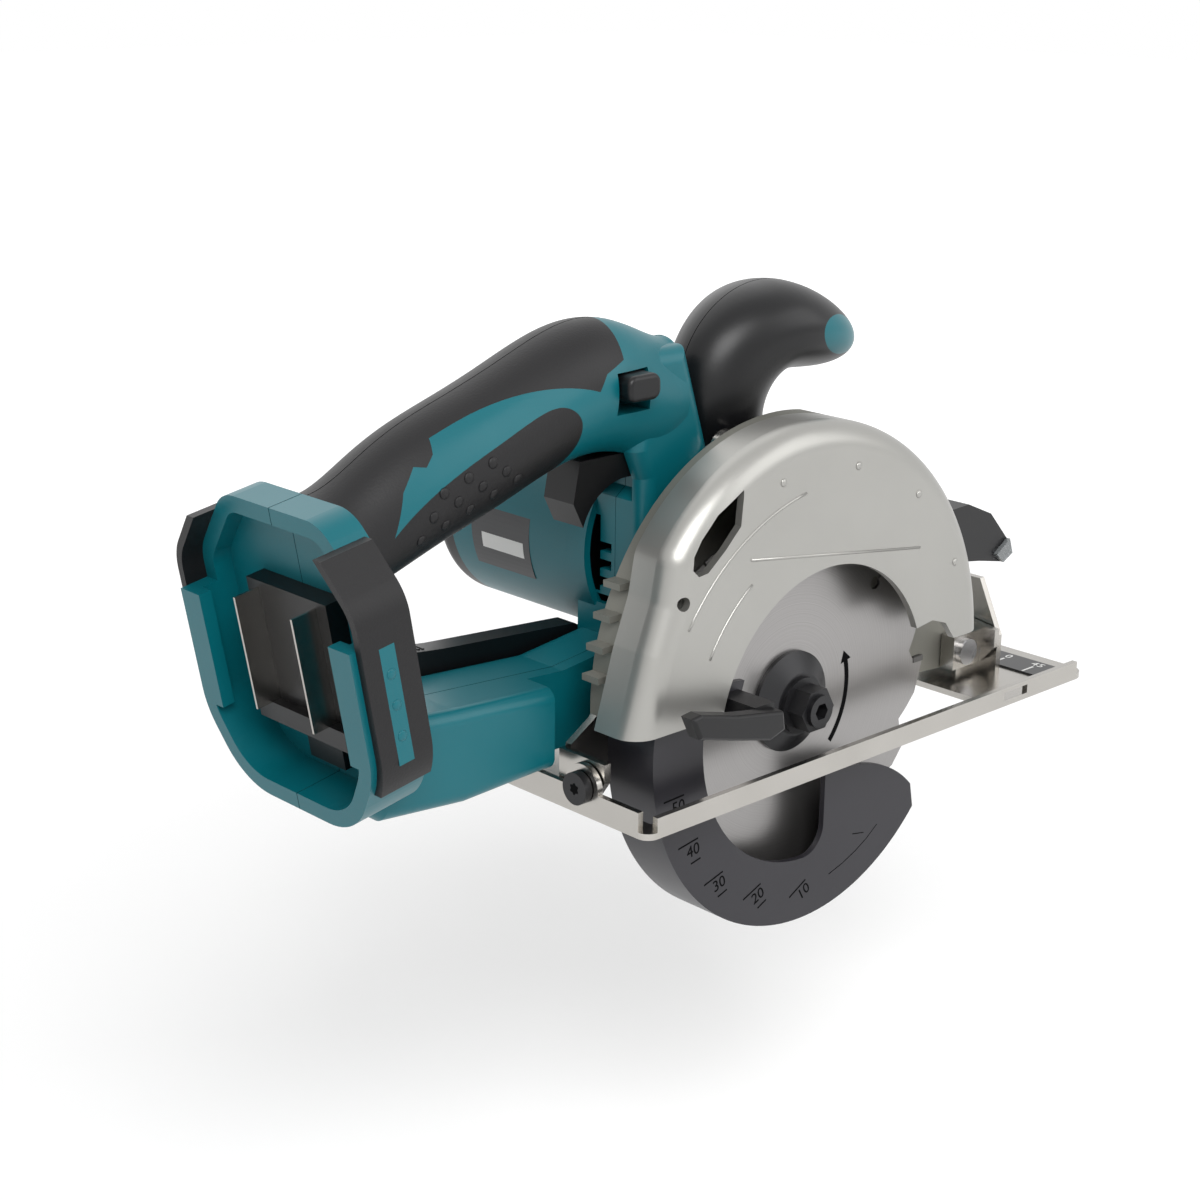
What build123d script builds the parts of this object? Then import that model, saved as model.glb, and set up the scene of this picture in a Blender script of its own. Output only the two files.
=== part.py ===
from build123d import *
import math
import os

# Cordless circular saw without its battery. Millimetres.
# X points forward, Y to the motor side, Z up. The origin lies on the sole, under the arbor,
# in the parting plane of the two housing halves.

# Clearances
RUN = 0.05
GAP = 0.4
SLIDE = 0.5

# Blade and arbor
BLADE_D = 136.0
BLADE_PLATE = 1.0
BLADE_TEETH = 16
BLADE_BORE = 20.0
GULLET = 7.5
SLOT_COUNT = 4
SLOT_HOLE_R = 2.2
SLOT_WIDTH = 0.8
SLOT_INNER_R = 51.0
CUT_DEPTH = 51.0
BLADE_Y = -31.5
BLADE_R = BLADE_D / 2
ARBOR = (0.0, BLADE_R - CUT_DEPTH)

# Clamping of the blade
FLANGE_R = 16.4
FLANGE_OUT_T = 5.0
FLANGE_IN_T = 2.5
BOLT_HEAD_T = 9.2
BOLT_HEX = 13.0
BOLT_SOCKET = 5.0
BOLT_R = 3.0
BOLT_REACH = 11.0
SPINDLE_R = 5.0
BOSS_R = 16.0
RING_T = 1.0
RING_R = 18.0

# Gear train
MODULE = 0.9
PINION_TEETH = 10
WHEEL_TEETH = 56
LAY_TEETH = 26
SPINDLE_TEETH = 24
SMALL_FACE = 6.5
WHEEL_FACE = 5.5
BACKLASH = 0.12
LAY_SHAFT_R = 4.0
GEAR_WALL = 2.5
FLANGE_FRONT = 58.0
LOCK_PIN_R = 1.6
LOCK_PIN_TRAVEL = 2.4
LOCK_BUTTON = (7.0, 5.0, 9.0)
COVER_T = 3.0

# Motor
MOTOR_X = -18.0
MOTOR_R = 33.0
MOTOR_WALL = 2.5
MOTOR_SHAFT_R = 4.0
ARMATURE_R = 22.4
ARMATURE_L = 28.0
AIR_GAP = 0.6
MAGNET_T = 3.6
FAN_T = 7.0
FAN_BLADES = 12
COMMUTATOR_R = 9.0
COMMUTATOR_L = 8.0
MOTOR_LEFT = 72.5
CAP_T = 10.0
BEARING_R = 11.0
BEARING_T = 7.0
ARBOR_BEARING_R = 9.5
ARBOR_BEARING_T = 5.0

# Upper guard: a cap over the blade and a back part. Side outlines are (forward, up).
GUARD_NEAR = 16.0
GUARD_SPLIT = 1.0
GUARD_FAR = 12.0
GUARD_WALL = 2.5
GUARD_LIP = 3.0
GUARD_BACK_T = 3.0
GUARD_STEP = 2.5
GUARD_ROOM = 0.8
GUARD_RIM = 8.0
GUARD_CORNER = 10.0
GUARD_LOW = 27.5
GUARD_TOP = (-8.0, 109.8)
GUARD_FRONT_X = 80.0
GUARD_REAR = ((-83.0, GUARD_LOW), (-75.5, 52.0), (-70.0, 66.0), (-67.5, 79.0))
BACK_CENTER = (3.2, 30.3)
BACK_R = 77.4
BACK_RIBS = (39.0, 48.0, 57.0, 66.0)
RIB_T = 2.0
RIB_OUT = 4.0
ARCH_R = 47.6
NOZZLE_HOLE = (-63.9, 65.7)
NOZZLE_HOLE_R = 2.1

# Lower guard
LOWER_R = BLADE_R + 3.0
LOWER_WALL = 1.6
LOWER_SIDE = 2.0
LOWER_NEAR = 11.5
LOWER_FAR = 7.6
LOWER_OPEN_R = 50.0
LOWER_OPEN_X = 7.0
LOWER_REAR_ANGLE = 160.0
LOWER_FRONT_ANGLE = -42.0
LOWER_HUB_R = 23.0
LEVER_NEAR = 31.0
LEVER_FAR = 26.2

# Housing
HANDLE_SECTIONS = [
    (-166.0, 105.0, -150.0, 76.0, 16.0),
    (-142.0, 113.6, -130.0, 81.0, 16.5),
    (-112.0, 126.0, -103.0, 90.0, 17.0),
    (-85.0, 136.0, -82.0, 97.5, 17.5),
    (-62.7, 141.5, -62.0, 101.0, 17.5),
    (-42.0, 137.0, -45.0, 97.0, 15.5),
    (-27.5, 132.5, -29.0, 97.0, 13.0),
]
GRIP_T = 2.4
BODY_RIGHT = -12.5
BODY_LEFT = 16.5
BODY_OUTLINE = [
    (-46.0, 4.0),
    (-46.0, 92.0),
    (-50.0, 101.0),
    (-44.0, 131.0),
    (-28.0, 131.0),
    (-17.0, 97.5),
    (14.0, 97.5),
    (24.0, 82.0),
    (28.0, 50.0),
    (26.0, 4.0),
]
BODY_ROUND = 5.0
BRIDGE_HALF = 17.5
BRIDGE_OUTLINE = [
    (-160.0, 20.0),
    (-155.0, 46.0),
    (-140.0, 41.0),
    (-123.0, 39.5),
    (-72.0, 36.6),
    (-30.0, 42.0),
    (-30.0, 12.0),
    (-90.0, 12.0),
    (-120.0, 10.5),
    (-150.0, 13.0),
]
BRIDGE_ROUND = 4.0
BRIDGE_RECESS_X = -86.5
BRIDGE_RECESS_Y = -5.0

# Battery foot, drawn in its own tilted plane
FOOT_CENTER = (-173.5, 0.0, 59.0)
FOOT_TILT = 10.4
FOOT_HALF = 38.5
FOOT_TOP = 44.0
FOOT_LOW = -43.0
FOOT_DEPTH = 20.0
FOOT_WALL = 5.0
FOOT_POCKET = 15.0
FOOT_SHOULDER = 15.0
FOOT_STEP = 9.0
FOOT_LOW_ROUND = 22.0
FOOT_TOP_ROUND = 12.0
RAIL_IN = 4.0
RAIL_T = 4.0

# Base, depth and bevel
BASE_T = 2.0
BASE_RIGHT = -54.3
BASE_LEFT = 58.5
BASE_REAR = -84.0
BASE_FRONT = 133.0
BASE_LIP = 6.5
BASE_REAR_LIP = 8.0
WINDOW_REAR = -77.0
WINDOW_FRONT = 80.0
WINDOW_RIGHT = -48.5
WINDOW_LEFT = -12.5
CASE_RELIEF = (-32.0, 22.0, 7.0)
LABEL = (13.0, 26.0, 0.6)
FENCE_AT = (91.5, 16.0)
FENCE_BAR = (13.0, 3.0)
FENCE_SCREW_R = 2.5
FENCE_HEAD = (12.0, 3.0, 11.0)
BEVEL_Y = -26.5
BEVEL_Z = 9.0
BEVEL_R = 20.0
BEVEL_TURN = 45.0
BEVEL_BOLT_ANGLE = 20.0
PIVOT = (96.0, 11.0)
PIVOT_R = 4.0
DEPTH_TURN = 29.0
CLAMP = (-41.5, 33.0)
CLAMP_R = 3.0
GUIDE_Y = -16.5
GUIDE_T = 2.5
GUIDE_HALF = 7.0

os.makedirs("parts", exist_ok=True)


def side(y):
    """Plane at one width across the saw, seen from the blade side: x forward, y up."""
    return Plane.XZ.offset(-y)


def prism(points, y_low, y_high, mode=Mode.ADD):
    """Straight block across the saw from a side outline."""
    with BuildSketch(side(y_high)) as outline:
        with BuildLine():
            Polyline(*points, close=True)
        make_face()
    extrude(outline.sketch, amount=y_high - y_low, mode=mode)


def disc(radius, center, y_low, y_high, mode=Mode.ADD):
    """Round block across the saw."""
    with BuildSketch(side(y_high)) as outline:
        with Locations(center):
            Circle(radius)
    extrude(outline.sketch, amount=y_high - y_low, mode=mode)


def polar(center, radius, degrees):
    """Point on a circle in a side outline."""
    turn = math.radians(degrees)
    return (center[0] + radius * math.cos(turn), center[1] + radius * math.sin(turn))


def arc_slot(center, radius, start, sweep, half):
    """Sketch of a curved slot with round ends."""
    end = start + sweep
    middle = start + sweep / 2
    outer = radius + half
    inner = radius - half
    start_tip = polar(polar(center, radius, start), half, start - 90.0)
    end_tip = polar(polar(center, radius, end), half, end + 90.0)
    with BuildSketch() as slot:
        with BuildLine():
            ThreePointArc(polar(center, outer, start), polar(center, outer, middle), polar(center, outer, end))
            ThreePointArc(polar(center, outer, end), end_tip, polar(center, inner, end))
            ThreePointArc(polar(center, inner, end), polar(center, inner, middle), polar(center, inner, start))
            ThreePointArc(polar(center, inner, start), start_tip, polar(center, outer, start))
        make_face()
    return slot.sketch


def save(builder, name):
    """Label one finished piece and write it."""
    builder.part.label = name
    export_step(builder.part, f"parts/{name}.step")


# Places along the arbor, outwards from the blade
blade_out = BLADE_Y - BLADE_PLATE / 2
blade_in = BLADE_Y + BLADE_PLATE / 2
flange_out = blade_out - FLANGE_OUT_T
flange_in = blade_in + FLANGE_IN_T
guard_near = BLADE_Y - GUARD_NEAR
guard_split = BLADE_Y + GUARD_SPLIT
guard_far = BLADE_Y + GUARD_FAR
lower_near = BLADE_Y - LOWER_NEAR
lower_far = BLADE_Y + LOWER_FAR
boss_end = flange_in + 0.8
ring_y = boss_end + GAP
hub_near = ring_y + RING_T + GAP
gear_near = guard_far + 6.5
gear_cavity = gear_near + GEAR_WALL
small_near = gear_cavity + 1.0
small_far = small_near + SMALL_FACE
wheel_near = small_far + 0.5
wheel_far = wheel_near + WHEEL_FACE
cover_near = wheel_far + 1.0
cover_far = cover_near + COVER_T

bearing_ys = (hub_near + 0.2, gear_cavity - ARBOR_BEARING_T)
lock_pin_y = bearing_ys[1] - LOCK_PIN_R - GAP

# Shaft centres, all on one line from the arbor to the motor
lay_distance = MODULE * (LAY_TEETH + SPINDLE_TEETH) / 2
wheel_distance = MODULE * (WHEEL_TEETH + PINION_TEETH) / 2
motor_distance = lay_distance + wheel_distance
MOTOR = (MOTOR_X, ARBOR[1] + math.sqrt(motor_distance**2 - (MOTOR_X - ARBOR[0]) ** 2))
LAY = tuple(a + (m - a) * lay_distance / motor_distance for a, m in zip(ARBOR, MOTOR))
train_angle = math.degrees(math.atan2(MOTOR[1] - ARBOR[1], MOTOR[0] - ARBOR[0]))


# Blade
def blade_points():
    """Rim of the blade, tooth by tooth. The cutting faces look the way the front teeth rise."""
    pitch = 360.0 / BLADE_TEETH
    shape = ((0.0, 0.0), (0.12, 0.5), (0.5, 2.2), (0.72, 5.2), (0.88, 7.5), (1.015, 5.4))
    points = []
    for tooth in range(BLADE_TEETH):
        for back, drop in shape:
            radius = BLADE_R - drop * GULLET / shape[4][1]
            points.append(polar(ARBOR, radius, -(tooth + back) * pitch))
    return points


with BuildPart() as saw_blade:
    prism(blade_points(), blade_out, blade_in)
    disc(BLADE_BORE / 2, ARBOR, blade_out, blade_in, Mode.SUBTRACT)
    for slot in range(SLOT_COUNT):
        slot_angle = 37.0 + slot * 360.0 / SLOT_COUNT
        disc(SLOT_HOLE_R, polar(ARBOR, SLOT_INNER_R, slot_angle), blade_out, blade_in, Mode.SUBTRACT)
        with BuildSketch(side(blade_in)) as slit:
            with Locations(Location(polar(ARBOR, (SLOT_INNER_R + BLADE_R) / 2, slot_angle), slot_angle)):
                Rectangle(BLADE_R - SLOT_INNER_R, SLOT_WIDTH)
        extrude(slit.sketch, amount=BLADE_PLATE, mode=Mode.SUBTRACT)
save(saw_blade, "saw_blade")

with BuildPart() as inner_flange:
    disc(FLANGE_R, ARBOR, blade_in, flange_in)
    disc(BLADE_BORE / 2 - RUN, ARBOR, blade_out, blade_in)
    disc(SPINDLE_R + RUN, ARBOR, blade_out, flange_in, Mode.SUBTRACT)
save(inner_flange, "inner_flange")

with BuildPart() as outer_flange:
    with BuildSketch(Plane.XY):
        with BuildLine():
            Polyline(
                (BOLT_R + RUN, 0),
                (FLANGE_R, 0),
                (FLANGE_R, 1.5),
                (FLANGE_R * 0.62, FLANGE_OUT_T),
                (BOLT_R + RUN, FLANGE_OUT_T),
                close=True,
            )
        make_face()
    revolve(axis=Axis.Y)
    fillet(outer_flange.edges().filter_by(GeomType.CIRCLE).group_by(Axis.Y)[-1].sort_by(SortBy.RADIUS)[-1], 1.2)
outer_flange.part = (
    Location((ARBOR[0], blade_out, ARBOR[1])) * Rotation(180, 0, 0) * outer_flange.part
)
save(outer_flange, "outer_flange")

with BuildPart() as blade_bolt:
    disc(BOLT_HEX * 0.7, ARBOR, flange_out - 1.5, flange_out)
    with BuildSketch(side(flange_out - 1.5)) as head:
        with Locations(ARBOR):
            RegularPolygon(BOLT_HEX / 2, 6, major_radius=False)
    extrude(head.sketch, amount=BOLT_HEAD_T - 3.0)
    disc(BOLT_HEX * 0.4, ARBOR, flange_out - BOLT_HEAD_T, flange_out - BOLT_HEAD_T + 2.0)
    with BuildSketch(side(flange_out - BOLT_HEAD_T + 4.0)) as socket:
        with Locations(ARBOR):
            RegularPolygon(BOLT_SOCKET / 2, 6, major_radius=False)
    extrude(socket.sketch, amount=4.0, mode=Mode.SUBTRACT)
    disc(BOLT_R, ARBOR, flange_out, blade_out + BOLT_REACH)
save(blade_bolt, "blade_bolt")


# Gears
def gear_points(teeth, center, phase):
    """Involute outline, two chords to each flank, one tooth centred on the phase angle."""
    pressure = math.radians(20.0)
    pitch_r = MODULE * teeth / 2
    base_r = pitch_r * math.cos(pressure)
    tip_r = pitch_r + 0.9 * MODULE
    root_r = pitch_r - 1.2 * MODULE
    half_tooth = (math.pi / 2 - BACKLASH * math.pi) / teeth
    points = []
    for tooth in range(teeth):
        middle = math.radians(phase) + tooth * 2 * math.pi / teeth
        flank = [(root_r, 1.1)]
        for radius in (max(base_r, root_r + 0.1), pitch_r, tip_r):
            angle = math.acos(base_r / max(radius, base_r))
            swing = (math.tan(pressure) - pressure) - (math.tan(angle) - angle)
            flank.append((radius, 1.0 + swing / half_tooth))
        for radius, share in flank:
            points.append(polar(center, radius, math.degrees(middle - share * half_tooth)))
        for radius, share in reversed(flank):
            points.append(polar(center, radius, math.degrees(middle + share * half_tooth)))
    return points


with BuildPart() as spindle:
    disc(SPINDLE_R, ARBOR, blade_out, small_far)
    disc(BOLT_R + RUN, ARBOR, blade_out, blade_out + BOLT_REACH + 0.5, Mode.SUBTRACT)
    with BuildSketch(Plane.YZ.offset(ARBOR[0] - SPINDLE_R)) as pin_hole:
        with Locations((lock_pin_y, ARBOR[1])):
            Circle(LOCK_PIN_R + GAP)
    extrude(pin_hole.sketch, amount=2 * SPINDLE_R, mode=Mode.SUBTRACT)
save(spindle, "spindle")

with BuildPart() as spindle_gear:
    prism(gear_points(SPINDLE_TEETH, ARBOR, train_angle), small_near, small_far)
    disc(SPINDLE_R + RUN, ARBOR, small_near, small_far, Mode.SUBTRACT)
save(spindle_gear, "spindle_gear")

with BuildPart() as layshaft_gear:
    prism(gear_points(LAY_TEETH, LAY, train_angle + 180.0 + 180.0 / LAY_TEETH), small_near, small_far)
    disc(MODULE * LAY_TEETH / 2 - 2.0, LAY, small_far, wheel_near)
    prism(gear_points(WHEEL_TEETH, LAY, train_angle), wheel_near, wheel_far)
    disc(LAY_SHAFT_R, LAY, gear_near + 1.0, small_near)
    disc(LAY_SHAFT_R, LAY, wheel_far, cover_far - 1.0)
save(layshaft_gear, "layshaft_gear")


# Gear housing: a shell round the three shafts, with the boss that carries the lower guard
def gear_case(inset, y_low, y_high, mode=Mode.ADD):
    """Block with the hull of the arbor, layshaft and motor circles, drawn in by an inset."""
    wheel_r = MODULE * WHEEL_TEETH / 2 + MODULE + 1.0 + GEAR_WALL
    with BuildSketch(side(y_high)) as hull:
        with Locations(ARBOR):
            Circle(BOSS_R - 1.5 - inset)
        with Locations(LAY):
            Circle(wheel_r - inset)
        with Locations(MOTOR):
            Circle(BOSS_R - inset)
        make_hull()
    extrude(hull.sketch, amount=y_high - y_low, mode=mode)


FLANGE_PLATE = [(-22.0, 6.0), (FLANGE_FRONT, 6.0), (FLANGE_FRONT, 58.0), (20.0, 78.0), (-8.0, 78.0), (-22.0, 45.0)]
GUARD_SCREWS = [(-15.0, 50.0), (2.0, 70.0), (50.0, 52.0), (50.0, 28.0)]
GUARD_SCREW_R = 2.0
with BuildPart() as gear_housing:
    gear_case(0.0, gear_near, cover_near)
    prism(FLANGE_PLATE, guard_far, gear_near)
    disc(BOSS_R, ARBOR, boss_end, gear_near)
    gear_case(GEAR_WALL, gear_cavity, cover_near, Mode.SUBTRACT)
    disc(ARBOR_BEARING_R, ARBOR, bearing_ys[0], gear_cavity, Mode.SUBTRACT)
    disc(SPINDLE_R + 1.0, ARBOR, boss_end, gear_cavity, Mode.SUBTRACT)
    disc(BOSS_R + 2.0, ARBOR, ring_y, ring_y + RING_T, Mode.SUBTRACT)
    disc(BOSS_R - 1.5, ARBOR, ring_y, ring_y + RING_T)
    disc(SPINDLE_R + 1.0, ARBOR, ring_y, ring_y + RING_T, Mode.SUBTRACT)
    disc(LAY_SHAFT_R + RUN, LAY, gear_near + 0.5, gear_cavity, Mode.SUBTRACT)
    for screw in GUARD_SCREWS:
        disc(GUARD_SCREW_R + RUN, screw, guard_far, gear_near, Mode.SUBTRACT)
    with BuildSketch(Plane.YZ.offset(ARBOR[0] + SPINDLE_R)) as pin_hole:
        with Locations((lock_pin_y, ARBOR[1])):
            Circle(LOCK_PIN_R + RUN)
    extrude(pin_hole.sketch, amount=FLANGE_FRONT - SPINDLE_R, mode=Mode.SUBTRACT)
save(gear_housing, "gear_housing")

with BuildPart() as gear_cover:
    gear_case(0.0, cover_near, cover_far)
    disc(BEARING_R + 3.0, MOTOR, cover_far, cover_far + BEARING_T)
    disc(BEARING_R, MOTOR, cover_far, cover_far + BEARING_T, Mode.SUBTRACT)
    disc(MOTOR_SHAFT_R + 2.0, MOTOR, cover_near, cover_far, Mode.SUBTRACT)
    disc(LAY_SHAFT_R + RUN, LAY, cover_near, cover_far - 0.5, Mode.SUBTRACT)
save(gear_cover, "gear_cover")

with BuildPart() as spindle_bearings:
    for bearing_y in bearing_ys:
        disc(ARBOR_BEARING_R, ARBOR, bearing_y, bearing_y + ARBOR_BEARING_T)
        disc(SPINDLE_R + RUN, ARBOR, bearing_y, bearing_y + ARBOR_BEARING_T, Mode.SUBTRACT)
save(spindle_bearings, "spindle_bearings")

with BuildPart() as guard_retaining_ring:
    disc(RING_R, ARBOR, ring_y, ring_y + RING_T)
    disc(BOSS_R - 1.5, ARBOR, ring_y, ring_y + RING_T, Mode.SUBTRACT)
    prism(
        [ARBOR, polar(ARBOR, 2 * RING_R, -98.0), polar(ARBOR, 2 * RING_R, -82.0)],
        ring_y,
        ring_y + RING_T,
        Mode.SUBTRACT,
    )
save(guard_retaining_ring, "guard_retaining_ring")

# Motor
motor_inner = MOTOR_R - MOTOR_WALL
fan_near = cover_far + BEARING_T + 2.0
core_near = fan_near + FAN_T + 2.0
core_far = core_near + ARMATURE_L
commutator_near = core_far + 4.0
commutator_far = commutator_near + COMMUTATOR_L
bearing2_near = MOTOR_LEFT + CAP_T - 3.0 - BEARING_T
with BuildPart() as motor_shaft:
    prism(gear_points(PINION_TEETH, MOTOR, train_angle + 180.0 + 180.0 / PINION_TEETH), wheel_near, wheel_far)
    disc(MOTOR_SHAFT_R - 1.0, MOTOR, wheel_far, cover_near)
    disc(MOTOR_SHAFT_R, MOTOR, cover_near, bearing2_near + BEARING_T)
save(motor_shaft, "motor_shaft")

with BuildPart() as armature_core:
    disc(ARMATURE_R, MOTOR, core_near, core_far)
    disc(MOTOR_SHAFT_R + RUN, MOTOR, core_near, core_far, Mode.SUBTRACT)
    with BuildSketch(side(core_far)) as winding_slots:
        with Locations(MOTOR):
            with PolarLocations(ARMATURE_R - 4.0, 12):
                Rectangle(9.0, 3.0)
    extrude(winding_slots.sketch, amount=ARMATURE_L, mode=Mode.SUBTRACT)
save(armature_core, "armature_core")

with BuildPart() as commutator:
    disc(COMMUTATOR_R, MOTOR, commutator_near, commutator_far)
    disc(COMMUTATOR_R + 3.0, MOTOR, core_far, commutator_near)
    disc(MOTOR_SHAFT_R + RUN, MOTOR, core_far, commutator_far, Mode.SUBTRACT)
save(commutator, "commutator")

with BuildPart() as cooling_fan:
    disc(motor_inner - 2.5, MOTOR, fan_near, fan_near + 1.5)
    disc(MOTOR_SHAFT_R + 4.0, MOTOR, fan_near, fan_near + FAN_T)
    with BuildSketch(side(fan_near + FAN_T)) as vanes:
        with Locations(MOTOR):
            with PolarLocations((motor_inner + MOTOR_SHAFT_R) / 2, FAN_BLADES):
                Rectangle(motor_inner - MOTOR_SHAFT_R - 6.0, 1.5)
    extrude(vanes.sketch, amount=FAN_T)
    disc(MOTOR_SHAFT_R + RUN, MOTOR, fan_near, fan_near + FAN_T, Mode.SUBTRACT)
save(cooling_fan, "cooling_fan")

magnet_in = ARMATURE_R + AIR_GAP
magnet_out = magnet_in + MAGNET_T
with BuildPart() as motor_magnets:
    disc(magnet_out, MOTOR, core_near, core_far)
    disc(magnet_in, MOTOR, core_near, core_far, Mode.SUBTRACT)
    prism(
        [(MOTOR[0] - 50, MOTOR[1] - 8), (MOTOR[0] + 50, MOTOR[1] - 8), (MOTOR[0] + 50, MOTOR[1] + 8),
         (MOTOR[0] - 50, MOTOR[1] + 8)],
        core_near,
        core_far,
        Mode.SUBTRACT,
    )
save(motor_magnets, "motor_magnets")

with BuildPart() as motor_yoke:
    disc(motor_inner, MOTOR, core_near - 1.0, core_far + 1.0)
    disc(magnet_out, MOTOR, core_near - 1.0, core_far + 1.0, Mode.SUBTRACT)
save(motor_yoke, "motor_yoke")

BRUSH = (5.0, 6.0, 11.0)
brush_y = (commutator_near + commutator_far) / 2
brush_z = COMMUTATOR_R + 0.2 + BRUSH[2] / 2
with BuildPart() as carbon_brushes:
    with Locations((MOTOR[0], brush_y, MOTOR[1] + brush_z), (MOTOR[0], brush_y, MOTOR[1] - brush_z)):
        Box(*BRUSH)
save(carbon_brushes, "carbon_brushes")

with BuildPart() as brush_holder:
    disc(motor_inner, MOTOR, brush_y - 4.0, brush_y + 4.0)
    disc(COMMUTATOR_R + 2.0, MOTOR, brush_y - 4.0, brush_y + 4.0, Mode.SUBTRACT)
    with Locations((MOTOR[0], brush_y, MOTOR[1])):
        Box(BRUSH[0], BRUSH[1], 2 * brush_z + BRUSH[2], mode=Mode.SUBTRACT)
save(brush_holder, "brush_holder")

with BuildPart() as motor_bearings:
    for bearing_y in (cover_far, bearing2_near):
        disc(BEARING_R, MOTOR, bearing_y, bearing_y + BEARING_T)
        disc(MOTOR_SHAFT_R + RUN, MOTOR, bearing_y, bearing_y + BEARING_T, Mode.SUBTRACT)
save(motor_bearings, "motor_bearings")

with BuildPart() as motor_housing:
    disc(MOTOR_R, MOTOR, BODY_LEFT, MOTOR_LEFT)
    disc(motor_inner, MOTOR, BODY_LEFT, MOTOR_LEFT, Mode.SUBTRACT)
save(motor_housing, "motor_housing")

with BuildPart() as motor_end_cap:
    disc(MOTOR_R, MOTOR, MOTOR_LEFT, MOTOR_LEFT + CAP_T)
    fillet(motor_end_cap.faces().sort_by(Axis.Y)[-1].edges(), 6.0)
    disc(motor_inner, MOTOR, MOTOR_LEFT, MOTOR_LEFT + CAP_T - 6.0, Mode.SUBTRACT)
    disc(BEARING_R, MOTOR, MOTOR_LEFT, MOTOR_LEFT + CAP_T - 3.0, Mode.SUBTRACT)
    disc(BEARING_R + 3.0, MOTOR, bearing2_near, MOTOR_LEFT + CAP_T - 6.0)
    disc(BEARING_R, MOTOR, bearing2_near, MOTOR_LEFT + CAP_T - 3.0, Mode.SUBTRACT)
    with BuildSketch(side(MOTOR_LEFT + CAP_T)) as cap_vents:
        with Locations(MOTOR):
            with PolarLocations(20.6, 10):
                SlotOverall(9.6, 3.0)
    extrude(cap_vents.sketch, amount=CAP_T, mode=Mode.SUBTRACT)
save(motor_end_cap, "motor_end_cap")


# Upper guard
def guard_outline(inset, low):
    """Side outline of the cap: two arcs that meet level at the top and a rear edge, drawn in by an inset."""
    with BuildSketch() as shape:
        with BuildLine():
            top = (GUARD_TOP[0], GUARD_TOP[1] - inset)
            front = (GUARD_FRONT_X - inset, low)
            rear = [(x + inset, z - inset / 3) for x, z in GUARD_REAR]
            rear[0] = (rear[0][0], low)
            TangentArc(top, front, tangent=(1, 0))
            Polyline(front, *rear)
            TangentArc(top, rear[-1], tangent=(-1, 0))
        make_face()
        rear_corners = shape.vertices().filter_by(lambda corner: corner.X < GUARD_TOP[0] and corner.Y > low + 1)
        fillet(rear_corners, GUARD_CORNER - inset)
    return shape.sketch


def guard_block(inset, low, y_low, y_high, mode=Mode.ADD):
    """Block with the cap's side outline."""
    with BuildSketch(side(y_high)) as outline:
        add(guard_outline(inset, low))
    extrude(outline.sketch, amount=y_high - y_low, mode=mode)


def back_block(inset, y_low, y_high, mode=Mode.ADD):
    """Block with the outline of the guard's back part: a circle kept within the cap, drawn in by an inset."""
    with BuildSketch(side(y_high)) as outline:
        with Locations(BACK_CENTER):
            Circle(BACK_R - inset)
        add(guard_outline(inset, GUARD_LOW), mode=Mode.INTERSECT)
    extrude(outline.sketch, amount=y_high - y_low, mode=mode)


SCALLOP = [(42.0, 20.0), (43.0, 35.0), (52.0, 36.2), (59.0, 33.8), (64.0, 27.5), (64.0, 20.0)]
DUST_WINDOW = [
    (-40.2, 95.5),
    (-41.2, 84.8),
    (-47.4, 78.8),
    (-54.4, 73.3),
    (-58.3, 72.8),
    (-60.8, 75.2),
    (-60.2, 79.0),
    (-57.0, 83.5),
    (-50.5, 89.7),
]
cap_inner = guard_near + GUARD_WALL
with BuildPart() as upper_guard:
    guard_block(0.0, GUARD_LOW, guard_near, guard_split)
    near_edges = upper_guard.faces().sort_by(Axis.Y)[0].edges().sort_by(Axis.Z)[1:]
    fillet(near_edges, GUARD_RIM)
    guard_block(GUARD_WALL + 4.0, GUARD_LOW - 1.0, cap_inner, cap_inner + 4.0, Mode.SUBTRACT)
    guard_block(GUARD_WALL, GUARD_LOW - 1.0, cap_inner + 3.5, guard_split - GUARD_STEP, Mode.SUBTRACT)
    back_block(GUARD_LIP, guard_split - GUARD_STEP - 1.0, guard_split, Mode.SUBTRACT)
    disc(LOWER_R + GUARD_ROOM, ARBOR, cap_inner + 4.0, guard_split, Mode.SUBTRACT)
    disc(ARCH_R, ARBOR, guard_near, cap_inner, Mode.SUBTRACT)
    prism(SCALLOP, guard_near, cap_inner, Mode.SUBTRACT)
    prism(DUST_WINDOW, guard_near - 1.0, cap_inner + 4.0, Mode.SUBTRACT)
    disc(NOZZLE_HOLE_R + 2.0, NOZZLE_HOLE, cap_inner + 1.0, cap_inner + 5.0)
    disc(NOZZLE_HOLE_R, NOZZLE_HOLE, guard_near, cap_inner + 5.0, Mode.SUBTRACT)
save(upper_guard, "upper_guard")

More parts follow.
